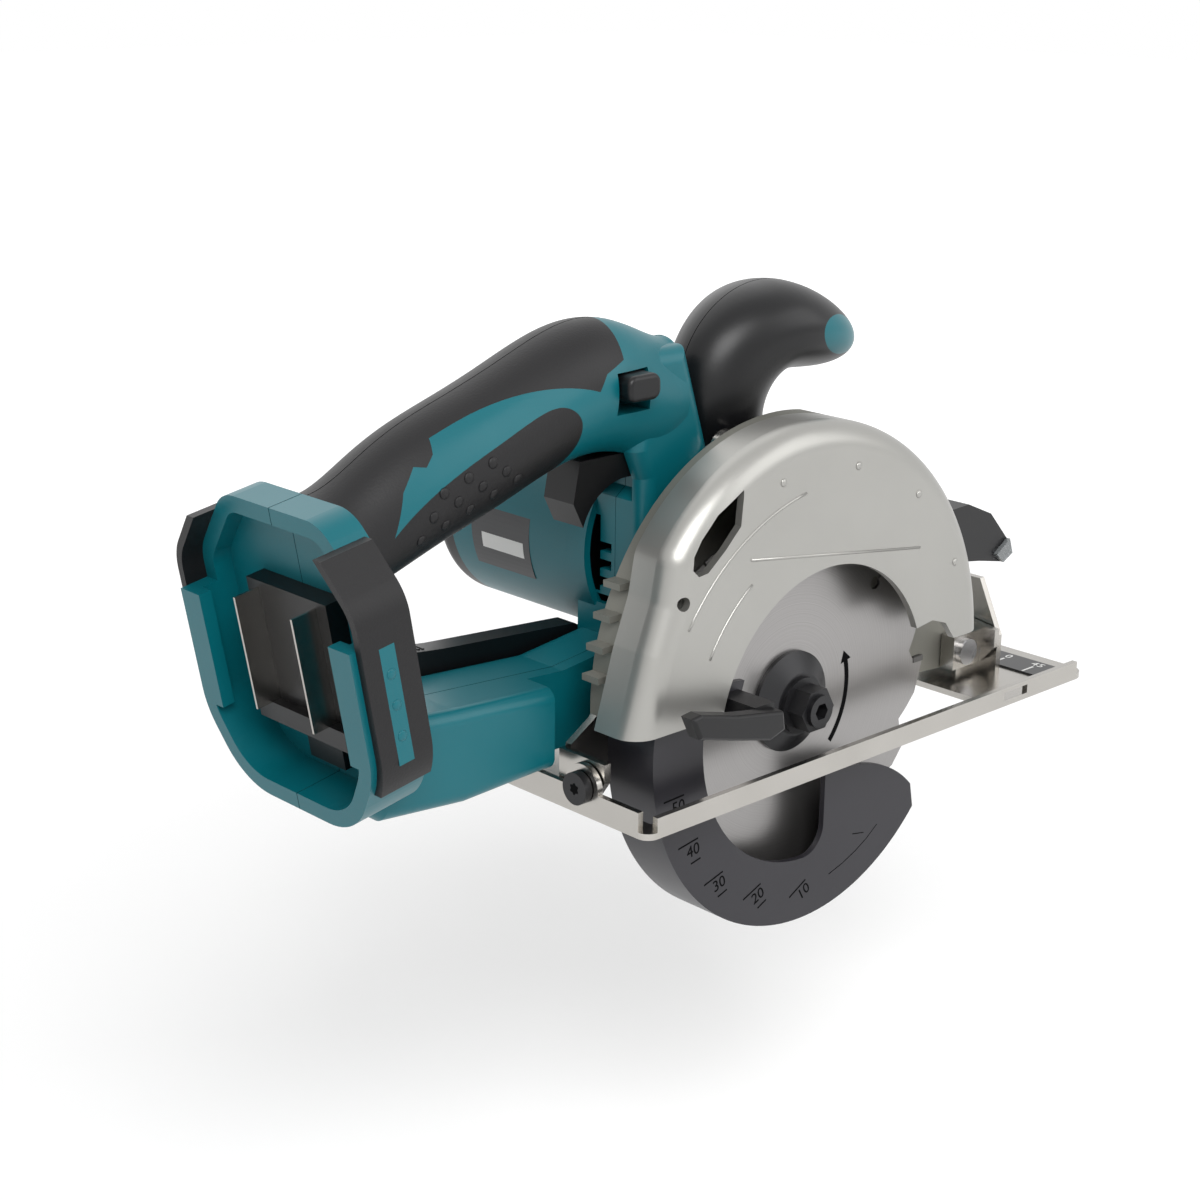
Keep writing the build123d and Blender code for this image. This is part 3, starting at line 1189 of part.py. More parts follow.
with BuildPart() as bevel_clamp_lever:
    with BuildSketch(Plane.YZ.offset(hinge_x - 1.5)) as stud_head:
        with Locations(bolt_at):
            Circle(CLAMP_R + 1.5)
    extrude(amount=1.2)
    with BuildSketch(Plane.YZ.offset(hinge_x - 0.3)) as stud:
        with Locations(bolt_at):
            Circle(CLAMP_R)
    extrude(amount=quadrant_x + QUADRANT_T + 0.5 - hinge_x + 0.3)
    with BuildSketch(Plane.YZ.offset(quadrant_x + QUADRANT_T + 0.5)) as arm:
        with BuildLine():
            Polyline(
                (bolt_at[0] + 5.0, bolt_at[1] - 5.0),
                (bolt_at[0] + 5.0, bolt_at[1] + 6.0),
                (bolt_at[0] + 4.0, bolt_at[1] + 30.0),
                (bolt_at[0] - 3.0, bolt_at[1] + 30.0),
                (bolt_at[0] - 5.0, bolt_at[1] - 5.0),
                close=True,
            )
        make_face()
    extrude(amount=2.0)
save(bevel_clamp_lever, "bevel_clamp_lever")

# Depth lock
lock_y = BRIDGE_HALF + GAP
with BuildPart() as depth_clamp_bolt:
    disc(CLAMP_R, CLAMP, GUIDE_Y - 0.5, lock_y + 9.0)
    disc(CLAMP_R + 3.0, CLAMP, GUIDE_Y - 3.0, GUIDE_Y - 0.5)
save(depth_clamp_bolt, "depth_clamp_bolt")

LOCK_ARM = [(-36.0, 27.0), (-36.0, 35.0), (-46.0, 40.5), (-100.0, 44.0), (-118.0, 46.0), (-119.0, 38.0),
            (-98.0, 36.0), (-52.0, 29.0)]
with BuildPart() as depth_lock_lever:
    prism(LOCK_ARM, lock_y, lock_y + 8.0)
    disc(CLAMP_R + RUN, CLAMP, lock_y, lock_y + 8.0, Mode.SUBTRACT)
save(depth_lock_lever, "depth_lock_lever")

# Lamp
LAMP = [(81.0, 64.0), (92.0, 64.5), (105.0, 59.0), (115.0, 48.5), (117.0, 43.0), (112.0, 40.5), (100.0, 43.0), (81.0, 46.0)]
with BuildPart() as lamp_housing:
    prism(LAMP, guard_far - 10.0, gear_near)
    prism([(60.0, 46.0), (84.0, 46.0), (84.0, 62.0), (50.0, 62.0)], guard_far, gear_near)
    prism(FLANGE_PLATE, guard_far, gear_near, Mode.SUBTRACT)
save(lamp_housing, "lamp_housing")

LENS_T = 1.5
LENS = [(115.0, 48.5), (117.0, 43.0), (112.0, 40.5), (108.0, 44.0)]
with BuildPart() as lamp_lens:
    prism(LENS, guard_far - 10.0 - LENS_T, guard_far - 10.0)
save(lamp_lens, "lamp_lens")

# Shaft lock, a pin through the flange plate with a button at its front end
with BuildPart() as shaft_lock:
    with BuildSketch(Plane.YZ.offset(ARBOR[0] + SPINDLE_R + GAP)) as lock_pin:
        with Locations((lock_pin_y, ARBOR[1])):
            Circle(LOCK_PIN_R)
    extrude(lock_pin.sketch, amount=FLANGE_FRONT + LOCK_PIN_TRAVEL + SLIDE - SPINDLE_R - GAP)
    with BuildSketch(Plane.YZ.offset(FLANGE_FRONT + LOCK_PIN_TRAVEL + SLIDE)) as lock_button:
        with Locations((lock_pin_y + 1.0, ARBOR[1])):
            Rectangle(LOCK_BUTTON[1], LOCK_BUTTON[2])
        fillet(lock_button.vertices(), 1.5)
    extrude(lock_button.sketch, amount=LOCK_BUTTON[0])
save(shaft_lock, "shaft_lock")

# Thumb screw of the rip fence
with BuildPart() as fence_screw:
    with Locations((*FENCE_AT, BASE_T + GAP)):
        Cylinder(FENCE_SCREW_R + 2.0, 4.0, align=(Align.CENTER, Align.CENTER, Align.MIN))
        Box(*FENCE_HEAD, align=(Align.CENTER, Align.CENTER, Align.MIN))
    fillet(fence_screw.edges().filter_by(Axis.Y).group_by(Axis.Z)[-1], 4.0)
    with Locations((*FENCE_AT, 0.2)):
        Cylinder(FENCE_SCREW_R, BASE_T + GAP, align=(Align.CENTER, Align.CENTER, Align.MIN))
save(fence_screw, "fence_screw")
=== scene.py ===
import logging
import math
from dataclasses import dataclass, field
from enum import Enum
from typing import Any, Sequence

import bmesh
import bpy
from mathutils import Matrix, Vector


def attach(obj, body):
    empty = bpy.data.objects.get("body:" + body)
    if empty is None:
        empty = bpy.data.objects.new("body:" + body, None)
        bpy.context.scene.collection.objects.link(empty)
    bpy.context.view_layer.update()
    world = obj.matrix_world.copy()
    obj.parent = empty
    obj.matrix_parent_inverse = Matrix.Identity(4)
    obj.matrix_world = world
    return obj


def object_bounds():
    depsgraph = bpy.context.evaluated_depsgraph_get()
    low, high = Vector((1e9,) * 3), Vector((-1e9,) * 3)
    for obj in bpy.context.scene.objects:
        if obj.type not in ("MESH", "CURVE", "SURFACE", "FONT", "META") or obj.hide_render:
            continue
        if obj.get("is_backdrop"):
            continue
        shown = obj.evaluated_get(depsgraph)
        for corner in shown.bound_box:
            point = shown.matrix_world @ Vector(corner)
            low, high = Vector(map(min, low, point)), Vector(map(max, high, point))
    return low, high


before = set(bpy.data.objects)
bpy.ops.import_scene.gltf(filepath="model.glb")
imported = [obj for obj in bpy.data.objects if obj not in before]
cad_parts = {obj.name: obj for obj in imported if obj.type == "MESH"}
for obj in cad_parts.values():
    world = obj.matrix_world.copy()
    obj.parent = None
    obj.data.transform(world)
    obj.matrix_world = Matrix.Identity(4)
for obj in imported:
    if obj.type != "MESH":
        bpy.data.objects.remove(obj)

LOG = logging.getLogger("circular_saw")
MM = 0.001
Flat = tuple[float, float]
Point = tuple[float, float, float]
Colour = tuple[float, float, float, float]
Mesh, Material = bpy.types.Mesh, bpy.types.Material
Node, Tree = bpy.types.Node, bpy.types.NodeTree

# Directions in the saw's frame: near is the blade side, east is the front.
NEAR: Point = (0.0, -1.0, 0.0)
EAST: Point = (1.0, 0.0, 0.0)
UP: Point = (0.0, 0.0, 1.0)
DOWN: Point = (0.0, 0.0, -1.0)

# The blade's axis in x and z, in millimetres.
BLADE_AXIS: Flat = (0.0, 17.0)
# A face counts as a side face when the size of its normal's y is over this.
SIDE_FACE = 0.9
# Vertices closer than this, in metres, become one in a new mesh and in a copy of a node's mesh.
NEW_MESH_WELD = 1e-7
NODE_WELD = 1e-6

# Sockets that Blender's mix and map range nodes give by number.
MIX_FACTOR, MIX_FIRST, MIX_SECOND, MIX_RESULT = 0, 6, 7, 2
FROM_LOW, FROM_HIGH, TO_LOW, TO_HIGH = 1, 2, 3, 4

WHITE: Colour = (1.0, 1.0, 1.0, 1.0)


class Body(Enum):
    """Names of the rigid bodies that pieces ride on."""

    SAW = "saw_body"
    BLADE = "blade_group"
    LOWER_GUARD = "lower_guard_group"
    BASE = "base"
    DEPTH = "depth_frame"
    DEPTH_LOCK = "depth_lock"


class Slot(Enum):
    """Names of the record's material slots."""

    TEAL = "teal_plastic"
    ELASTOMER = "black_elastomer"
    BLACK = "black_plastic"
    CASTING = "cast_aluminium"
    GUARD = "dark_grey_metal"
    BLADE = "blade_steel"
    DARK_STEEL = "black_steel"
    LABEL = "white_label"


def linear(code: str) -> Colour:
    """Turn an sRGB hex colour into linear values.

    Args:
        code: six hex digits, with or without a leading hash.

    Returns:
        Red, green and blue in linear light, and full opacity.
    """
    digits = code.lstrip("#")
    channels = []
    for start in (0, 2, 4):
        value = int(digits[start:start + 2], 16) / 255.0
        channels.append(value / 12.92 if value <= 0.04045 else ((value + 0.055) / 1.055) ** 2.4)
    return (channels[0], channels[1], channels[2], 1.0)


def add_node(tree: Tree, kind: str, inputs: dict[Any, Any] | None = None, **settings: Any) -> Node:
    """Add one node with its settings, values and links.

    Args:
        tree: node tree that gets the node.
        kind: node type name.
        inputs: value, or (node, output) link, by input name or number.
        settings: properties of the node.

    Returns:
        The new node.
    """
    node = tree.nodes.new(kind)
    for name, value in settings.items():
        setattr(node, name, value)
    for name, value in (inputs or {}).items():
        if isinstance(value, tuple) and isinstance(value[0], Node):
            tree.links.new(value[0].outputs[value[1]], node.inputs[name])
        else:
            node.inputs[name].default_value = value
    return node


@dataclass(frozen=True)
class Finish:
    """One surface finish with its grain, colour drift and gloss.

    Colours are sRGB hex values. Sizes are in millimetres.
    """

    name: str
    colour: str
    drift_colour: str
    roughness: float
    roughness_spread: float = 0.06
    metallic: float = 0.0
    ior: float = 1.5
    grain_mm: float = 0.6
    grain_height_mm: float = 0.02
    grain_detail: float = 2.0
    drift_mm: float = 30.0
    drift_detail: float = 3.0
    bump_strength: float = 0.6

    def start(self) -> tuple[Material, Tree, Node, Node]:
        """Begin the material with its shader and coordinates.

        Returns:
            The material, its tree, the shader node and the coordinate node.
        """
        material = bpy.data.materials.new(self.name)
        material.use_nodes = True
        tree = material.node_tree
        tree.nodes.clear()
        shader = add_node(tree, "ShaderNodeBsdfPrincipled", {"Metallic": self.metallic})
        if not self.metallic:
            shader.inputs["IOR"].default_value = self.ior
        add_node(tree, "ShaderNodeOutputMaterial", {"Surface": (shader, "BSDF")})
        coords = add_node(tree, "ShaderNodeTexCoord")
        return material, tree, shader, coords

    def lay(self, tree: Tree, shader: Node, drift: Node, grain: Node) -> None:
        """Let one pattern move colour and gloss, and another the surface's height.

        Args:
            tree: the material's tree.
            shader: the shader node.
            drift: pattern of colour and gloss.
            grain: pattern of height.
        """
        colour = add_node(tree, "ShaderNodeMix", {
            MIX_FACTOR: (drift, "Fac"),
            MIX_FIRST: linear(self.colour),
            MIX_SECOND: linear(self.drift_colour),
        }, data_type="RGBA")
        gloss = add_node(tree, "ShaderNodeMapRange", {
            "Value": (drift, "Fac"),
            TO_LOW: self.roughness - self.roughness_spread,
            TO_HIGH: self.roughness + self.roughness_spread,
        })
        bump = add_node(tree, "ShaderNodeBump", {
            "Strength": self.bump_strength,
            "Distance": self.grain_height_mm * MM,
            "Height": (grain, "Fac"),
        })
        tree.links.new(colour.outputs[MIX_RESULT], shader.inputs["Base Color"])
        tree.links.new(gloss.outputs["Result"], shader.inputs["Roughness"])
        tree.links.new(bump.outputs["Normal"], shader.inputs["Normal"])

    def dress(self, tree: Tree, shader: Node, coords: Node) -> None:
        """Give the shader its colour drift, gloss variation and grain.

        Args:
            tree: the material's tree.
            shader: the shader node.
            coords: the coordinate node.
        """
        drift = add_node(tree, "ShaderNodeTexNoise", {
            "Vector": (coords, "Object"), "Scale": 1.0 / (self.drift_mm * MM), "Detail": self.drift_detail,
        })
        grain = add_node(tree, "ShaderNodeTexNoise", {
            "Vector": (coords, "Object"), "Scale": 1.0 / (self.grain_mm * MM), "Detail": self.grain_detail,
        })
        self.lay(tree, shader, drift, grain)

    def material(self) -> Material:
        """Make the material.

        Returns:
            The finished material.
        """
        material, tree, shader, coords = self.start()
        self.dress(tree, shader, coords)
        return material


@dataclass(frozen=True)
class TurnedSteel(Finish):
    """Steel brushed in rings about an axis across the saw."""

    bump_strength: float = 0.5
    centre_mm: Flat = BLADE_AXIS
    ring_mm: float = 0.35

    def dress(self, tree: Tree, shader: Node, coords: Node) -> None:
        """Lay fine rings about the axis over colour and gloss.

        Args:
            tree: the material's tree.
            shader: the shader node.
            coords: the coordinate node.
        """
        centred = add_node(tree, "ShaderNodeMapping", {
            "Vector": (coords, "Object"),
            "Location": (-self.centre_mm[0] * MM, 0.0, -self.centre_mm[1] * MM),
        })
        flat = add_node(tree, "ShaderNodeVectorMath", {
            0: (centred, "Vector"), 1: (1.0, 0.0, 1.0),
        }, operation="MULTIPLY")
        radius = add_node(tree, "ShaderNodeVectorMath", {0: (flat, "Vector")}, operation="LENGTH")
        rings = add_node(tree, "ShaderNodeTexNoise", {
            "W": (radius, "Value"), "Scale": 1.0 / (self.ring_mm * MM), "Detail": self.drift_detail,
        }, noise_dimensions="1D")
        self.lay(tree, shader, rings, rings)


@dataclass(frozen=True)
class ClearPolycarbonate(Finish):
    """Clear moulded plastic of the lamp's lens."""

    transmission: float = 0.8

    def dress(self, tree: Tree, shader: Node, coords: Node) -> None:
        """Let light through and keep the grain.

        Args:
            tree: the material's tree.
            shader: the shader node.
            coords: the coordinate node.
        """
        super().dress(tree, shader, coords)
        shader.inputs["Transmission Weight"].default_value = self.transmission


# Moulded glass-filled nylon: satin with a fine spark-eroded grain.
TEAL = Finish(
    "teal_moulded_nylon", "#00616b", "#045d67", 0.34, ior=1.4, grain_mm=0.7, grain_height_mm=0.012,
)
# Overmoulded thermoplastic elastomer: dull, with a leathery fine grain.
ELASTOMER = Finish(
    "black_moulded_elastomer", "#111012", "#0e0d0f", 0.48, ior=1.4, grain_mm=0.7, grain_height_mm=0.09,
)
# Moulded black nylon: satin, a little glossier than the elastomer.
BLACK_NYLON = Finish(
    "black_moulded_nylon", "#0d0d0f", "#0a0a0c", 0.36, ior=1.4, grain_mm=0.6, grain_height_mm=0.015,
)
# Die-cast aluminium under silver lacquer: pale, soft sheen, a fine orange-peel grain.
CASTING = Finish(
    "silver_lacquered_casting", "#a6a5a1", "#9d9c98", 0.36, metallic=0.75, grain_mm=0.9,
    grain_height_mm=0.02, drift_mm=45.0,
)
# Magnesium guard in dark grey satin paint: nearly black, with a soft broad shine.
GUARD_PAINT = Finish(
    "dark_grey_satin_paint", "#28272c", "#252429", 0.36, ior=1.4, grain_mm=0.8, grain_height_mm=0.015,
)
# Saw steel ground in rings: bright, with fine circles that catch the light.
BLADE_STEEL = TurnedSteel(
    "ring_ground_saw_steel", "#a2a09f", "#8f8d8c", 0.32, metallic=0.9, grain_height_mm=0.01,
)
# Nickel-plated sheet steel: bright with rolling waves.
NICKEL = Finish(
    "nickel_plated_sheet_steel", "#bab7b2", "#a8a5a0", 0.25, metallic=1.0, grain_mm=6.0,
    grain_height_mm=0.03,
)
# Steel with a black oxide skin: dark, with a dull metal shine.
BLACK_OXIDE = Finish("black_oxide_steel", "#1d1d1f", "#252527", 0.38, metallic=0.4, grain_mm=0.8)
# Turned steel of shafts and bearings: bright and clean.
BRIGHT_STEEL = Finish("turned_bright_steel", "#b4b4b6", "#a2a2a4", 0.28, metallic=1.0)
# Turned copper of the commutator: warm and bright.
COPPER = Finish("turned_copper", "#b87850", "#a96c46", 0.3, metallic=1.0)
# Sintered magnets: dull dark grey.
FERRITE = Finish("sintered_ferrite", "#3b3b3d", "#333335", 0.6)
# Pressed carbon of the brushes: matt and nearly black.
CARBON = Finish("pressed_carbon", "#2a2a2a", "#222222", 0.7)
# Polyester film under the sight marks: smooth and black.
BLACK_FILM = Finish("black_polyester_film", "#1b1b1d", "#171719", 0.3, grain_height_mm=0.004)
# Pale film and print: smooth, a soft white.
PRINTED_FILM = Finish("pale_polyester_film", "#d8d8d6", "#d2d2d0", 0.35, grain_height_mm=0.004)
# Film of the rating plate: smooth and dark grey.
PLATE_FILM = Finish("dark_plate_film", "#2a2b2e", "#26272a", 0.34, grain_height_mm=0.004)
# Near-black painted shade of a groove's bottom, for moulded-in marks and screw recesses; the seam lines and
# the printed turning arrow take this colour too.
MOULD_SHADE = Finish("groove_shade", "#060607", "#050506", 0.8, ior=1.15)
# The same groove in teal nylon.
TEAL_SHADE = Finish("teal_groove_shade", "#00343a", "#003238", 0.7, ior=1.2)
# Sintered carbide: dull grey, coarser than the ground steel.
CARBIDE = Finish("sintered_carbide", "#6d6c6b", "#62615f", 0.42, metallic=0.8, grain_mm=0.3)
# Bare die casting behind the guard: dull warm grey.
BARE_CASTING = Finish(
    "bare_die_casting", "#8b8a82", "#83827b", 0.5, metallic=0.5, grain_mm=0.9, grain_height_mm=0.025,
)
# Clear lens of the lamp: glossy, lets most of the light through.
LENS = ClearPolycarbonate("clear_polycarbonate", "#eef4f6", "#e8f0f2", 0.08)

FINISHED_NODES: tuple[tuple[Finish, tuple[str, ...]], ...] = (
    (TEAL, ("housing_right", "housing_left", "motor_housing", "knob_inserts", "foot_strips")),
    (ELASTOMER, ("grip_right", "grip_left", "foot_bumpers")),
    (BLACK_NYLON, ("knob_right", "knob_left", "motor_end_cap", "trigger", "lock_off_lever", "lamp_housing",
                   "switch_unit", "terminal_block", "guard_lever", "depth_lock_lever", "brush_holder",
                   "cooling_fan", "shaft_lock")),
    (CASTING, ("upper_guard", "gear_housing", "gear_cover")),
    (GUARD_PAINT, ("lower_guard",)),
    (BARE_CASTING, ("guard_back",)),
    (BLADE_STEEL, ("saw_blade",)),
    (BLACK_OXIDE, ("outer_flange", "inner_flange", "blade_bolt", "guard_retaining_ring", "guard_screws",
                   "housing_screws", "bevel_screw", "depth_clamp_bolt", "bevel_clamp_lever")),
    (BRIGHT_STEEL, ("spindle", "spindle_gear", "layshaft_gear", "spindle_bearings", "motor_bearings",
                    "motor_shaft", "armature_core", "motor_yoke", "depth_pivot_pin", "bevel_pin")),
    (NICKEL, ("base_plate", "depth_guide", "front_hinge", "bevel_quadrant", "contact_blades", "fence_screw")),
    (COPPER, ("commutator",)),
    (FERRITE, ("motor_magnets",)),
    (CARBON, ("carbon_brushes",)),
    (BLACK_FILM, ("sight_label",)),
    (LENS, ("lamp_lens",)),
)
NODE_FINISHES = {name: finish for finish, names in FINISHED_NODES for name in names}


@dataclass
class Workshop:
    """Keeps one material for each finish and dresses the frame's nodes."""

    made: dict[str, Material] = field(default_factory=dict)

    def material(self, finish: Finish) -> Material:
        """Give the material of a finish, made once.

        Args:
            finish: the finish wanted.

        Returns:
            Its material.
        """
        if finish.name not in self.made:
            self.made[finish.name] = finish.material()
        return self.made[finish.name]

    def dress_nodes(self) -> None:
        """Put each node's finish on its object."""
        for name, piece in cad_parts.items():
            piece.data.materials.clear()
            piece.data.materials.append(self.material(NODE_FINISHES[name]))
            LOG.info("node %s: %s", name, NODE_FINISHES[name].name)


@dataclass(frozen=True)
class Place:
    """One spot on a surface: where it is, which way it faces and which way it runs."""

    spot: Vector
    facing: Vector
    along: Vector


def add_piece(name: str, mesh: Mesh, body: Body) -> None:
    """Put a finished mesh into the scene on its body.

    Args:
        name: the piece's name.
        mesh: its mesh, already in place and with its material.
        body: the body it rides on.
    """
    piece = bpy.data.objects.new(name, mesh)
    bpy.context.scene.collection.objects.link(piece)
    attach(piece, body.value)
    LOG.info("piece %s: %d faces on %s", name, len(mesh.polygons), body.value)


def evaluated_mesh(holder: bpy.types.Object) -> Mesh:
    """Turn an object with modifiers, a curve or a text into a plain mesh and drop the object.

    Args:
        holder: the object to read.

    Returns:
        The plain mesh.
    """
    bpy.context.scene.collection.objects.link(holder)
    bpy.context.view_layer.update()
    mesh = bpy.data.meshes.new_from_object(holder.evaluated_get(bpy.context.evaluated_depsgraph_get()))
    holder.modifiers.clear()
    bpy.data.objects.remove(holder)
    return mesh


def finished(mesh: Mesh, material: Material) -> Mesh:
    """Give a mesh one material and outward faces.

    Args:
        mesh: the mesh.
        material: its material.

    Returns:
        The same mesh.
    """
    work = bmesh.new()
    work.from_mesh(mesh)
    bmesh.ops.remove_doubles(work, verts=work.verts, dist=NEW_MESH_WELD)
    bmesh.ops.recalc_face_normals(work, faces=work.faces)
    work.to_mesh(mesh)
    work.free()
    mesh.materials.clear()
    mesh.materials.append(material)
    return mesh


def bead(lines: Sequence[Sequence[Vector]], radius_mm: float) -> Mesh:
    """Draw round beads along lines.

    Args:
        lines: the lines, each a row of points in metres.
        radius_mm: radius of the beads.

    Returns:
        One mesh of all beads.
    """
    curve = bpy.data.curves.new("bead_lines", "CURVE")
    curve.dimensions = "3D"
    curve.bevel_depth = radius_mm * MM
    curve.bevel_resolution = 1
    curve.use_fill_caps = True
    for line in lines:
        spline = curve.splines.new("POLY")
        spline.points.add(len(line) - 1)
        for control, point in zip(spline.points, line):
            control.co = (*point, 1.0)
    return evaluated_mesh(bpy.data.objects.new("bead_lines", curve))


def plate(outline: Sequence[Flat], thickness_mm: float) -> Mesh:
    """Cut a flat plate in millimetres, lying in x and y, with its top at z = thickness.

    Args:
        outline: corners in order.
        thickness_mm: its thickness.

    Returns:
        The plate's mesh in metres.
    """
    count = len(outline)
    points = [(x * MM, y * MM, z * MM) for z in (0.0, thickness_mm) for x, y in outline]
    faces = [tuple(reversed(range(count))), tuple(range(count, 2 * count))]
    faces += [(i, (i + 1) % count, count + (i + 1) % count, count + i) for i in range(count)]
    mesh = bpy.data.meshes.new("plate")
    mesh.from_pydata(points, [], faces)
    return mesh


def bar(x_range: Flat, y_range: Flat, thickness_mm: float) -> Mesh:
    """Cut a plate with four square corners.

    Args:
        x_range: its two ends in x.
        y_range: its two ends in y.
        thickness_mm: its thickness.

    Returns:
        The bar's mesh in metres.
    """
    (left, right), (low, high) = x_range, y_range
    return plate([(left, low), (right, low), (right, high), (left, high)], thickness_mm)


def lettering(text: str, height_mm: float, thickness_mm: float) -> Mesh:
    """Cut figures out of a plate, centred, in x and y.

    Args:
        text: the figures.
        height_mm: size of the type.
        thickness_mm: thickness of the figures.

    Returns:
        Their mesh.
    """
    curve = bpy.data.curves.new("figures", "FONT")
    curve.body = text
    curve.size = height_mm * MM
    curve.extrude = thickness_mm * MM / 2
    curve.align_x = "CENTER"
    curve.align_y = "CENTER"
    curve.resolution_u = 3
    return evaluated_mesh(bpy.data.objects.new("figures", curve))


def joined(meshes: Sequence[tuple[Mesh, Matrix]]) -> Mesh:
    """Bring placed meshes into one.

    Args:
        meshes: each mesh with its placing matrix.

    Returns:
        The joined mesh.
    """
    work = bmesh.new()
    for mesh, place in meshes:
        mesh.transform(place)
        work.from_mesh(mesh)
        bpy.data.meshes.remove(mesh)
    result = bpy.data.meshes.new("joined")
    work.to_mesh(result)
    work.free()
    return result


def placing(origin_mm: Point, across: Sequence[float], up: Sequence[float]) -> Matrix:
    """Make the matrix that lays x along one direction and y along another.

    Args:
        origin_mm: where the origin goes.
        across: direction of x.
        up: direction of y.

    Returns:
        The matrix.
    """
    x_axis = Vector(across).normalized()
    y_axis = Vector(up).normalized()
    z_axis = x_axis.cross(y_axis)
    matrix = Matrix((x_axis, y_axis, z_axis)).transposed().to_4x4()
    matrix.translation = Vector(origin_mm) * MM
    return matrix


def cast(node: str, start_mm: Point, direction: Point, along: Point) -> Place:
    """Find where a straight ray meets a node's surface.

    Args:
        node: the node's name.
        start_mm: where the ray starts.
        direction: the way it goes.
        along: the way the place runs.

    Returns:
        The place on the surface.
    """
    hit, spot, normal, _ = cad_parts[node].ray_cast(Vector(start_mm) * MM, Vector(direction))
    if not hit:
        raise ValueError(f"no surface of {node} at {start_mm}")
    return Place(spot, normal, Vector(along))


def on_circle(centre: Flat, radius: float, degrees: float) -> Flat:
    """Find a point on a circle.

    Args:
        centre: the circle's middle.
        radius: its radius.
        degrees: the point's angle.

    Returns:
        The point's two coordinates.
    """
    angle = math.radians(degrees)
    return centre[0] + radius * math.cos(angle), centre[1] + radius * math.sin(angle)


def arc_points(centre: Flat, radius: float, start: float, stop: float, level: float) -> list[Vector]:
    """Row of points on an arc in a plane along the blade.

    Args:
        centre: the arc's middle in x and z.
        radius: its radius.
        start: first angle in degrees.
        stop: last angle in degrees.
        level: the plane's y.

    Returns:
        The points in metres, about one for each three degrees.
    """
    steps = max(4, int(abs(stop - start) / 3.0))
    rows = []
    for step in range(steps + 1):
        x, z = on_circle(centre, radius, start + (stop - start) * step / steps)
        rows.append(Vector((x, level, z)) * MM)
    return rows


@dataclass
class Scatter:
    """Sets copies of one small shape on places, each turned to face along its place."""

    name: str
    shape: Mesh
    material: Material

    def tree(self) -> Tree:
        """Build the node tree that sets the copies.

        Returns:
            The tree.
        """
        tree = bpy.data.node_groups.new(self.name, "GeometryNodeTree")
        for label, kind in (("Places", "NodeSocketGeometry"), ("Shape", "NodeSocketObject"),
                            ("Width", "NodeSocketFloat"), ("Height", "NodeSocketFloat"),
                            ("Finish", "NodeSocketMaterial")):
            tree.interface.new_socket(label, in_out="INPUT", socket_type=kind)
        tree.interface.new_socket("Copies", in_out="OUTPUT", socket_type="NodeSocketGeometry")
        given = add_node(tree, "NodeGroupInput")
        facing, along = [
            add_node(tree, "GeometryNodeInputNamedAttribute", {"Name": label}, data_type="FLOAT_VECTOR")
            for label in ("facing", "along")
        ]
        stood = add_node(tree, "FunctionNodeAlignRotationToVector", {"Vector": (facing, 0)}, axis="Z")
        turned = add_node(tree, "FunctionNodeAlignRotationToVector", {
            "Rotation": (stood, 0), "Vector": (along, 0),
        }, axis="X", pivot_axis="Z")
        shape = add_node(tree, "GeometryNodeObjectInfo", {"Object": (given, "Shape")})
        size = add_node(tree, "ShaderNodeCombineXYZ", {
            "X": (given, "Width"), "Y": (given, "Width"), "Z": (given, "Height"),
        })
        copies = add_node(tree, "GeometryNodeInstanceOnPoints", {
            "Points": (given, "Places"),
            "Instance": (shape, "Geometry"),
            "Rotation": (turned, 0),
            "Scale": (size, 0),
        })
        real = add_node(tree, "GeometryNodeRealizeInstances", {"Geometry": (copies, "Instances")})
        dressed = add_node(tree, "GeometryNodeSetMaterial", {
            "Geometry": (real, "Geometry"), "Material": (given, "Finish"),
        })
        add_node(tree, "NodeGroupOutput", {"Copies": (dressed, "Geometry")})
        return tree

    def mesh(self, places: Sequence[Place], width: float, height: float) -> Mesh:
        """Set the copies and keep them as one plain mesh.

        Args:
            places: where the copies go.
            width: scale of the shape across.
            height: scale of the shape outwards.

        Returns:
            The mesh of all copies.
        """
        points = bpy.data.meshes.new(self.name)
        points.from_pydata([place.spot for place in places], [], [])
        for label in ("facing", "along"):
            rows = points.attributes.new(label, "FLOAT_VECTOR", "POINT")
            for row, place in zip(rows.data, places):
                row.vector = getattr(place, label)
        shape = bpy.data.objects.new(f"{self.name}_shape", self.shape)
        tree = self.tree()
        holder = bpy.data.objects.new(self.name, points)
        modifier = holder.modifiers.new("copies", "NODES")
        modifier.node_group = tree
        values = {"Shape": shape, "Width": width, "Height": height, "Finish": self.material}
        for item in tree.interface.items_tree:
            if item.name in values and item.in_out == "INPUT":
                modifier[item.identifier] = values[item.name]
        mesh = evaluated_mesh(holder)
        bpy.data.objects.remove(shape)
        return mesh


def dome_shape() -> Mesh:
    """Make a ball of radius one, whose outer half is a low button once it is flattened.

    Returns:
        Its mesh.
    """
    work = bmesh.new()
    bmesh.ops.create_uvsphere(work, u_segments=14, v_segments=8, radius=1.0)
    mesh = bpy.data.meshes.new("dome")
    work.to_mesh(mesh)
    work.free()
    mesh.shade_smooth()
    return mesh


def star_shape() -> Mesh:
    """Make the six-lobed outline of a screw recess of radius one and height one.

    Returns:
        Its mesh.
    """
    lobes, corner_count = 6, 36
    mean_reach, lobe_height = 0.86, 0.14
    corners = []
    for step in range(corner_count):
        angle = math.tau * step / corner_count
        reach = mean_reach + lobe_height * math.cos(lobes * angle)
        corners.append((reach * math.cos(angle) / MM, reach * math.sin(angle) / MM))
    return plate(corners, 1.0 / MM)


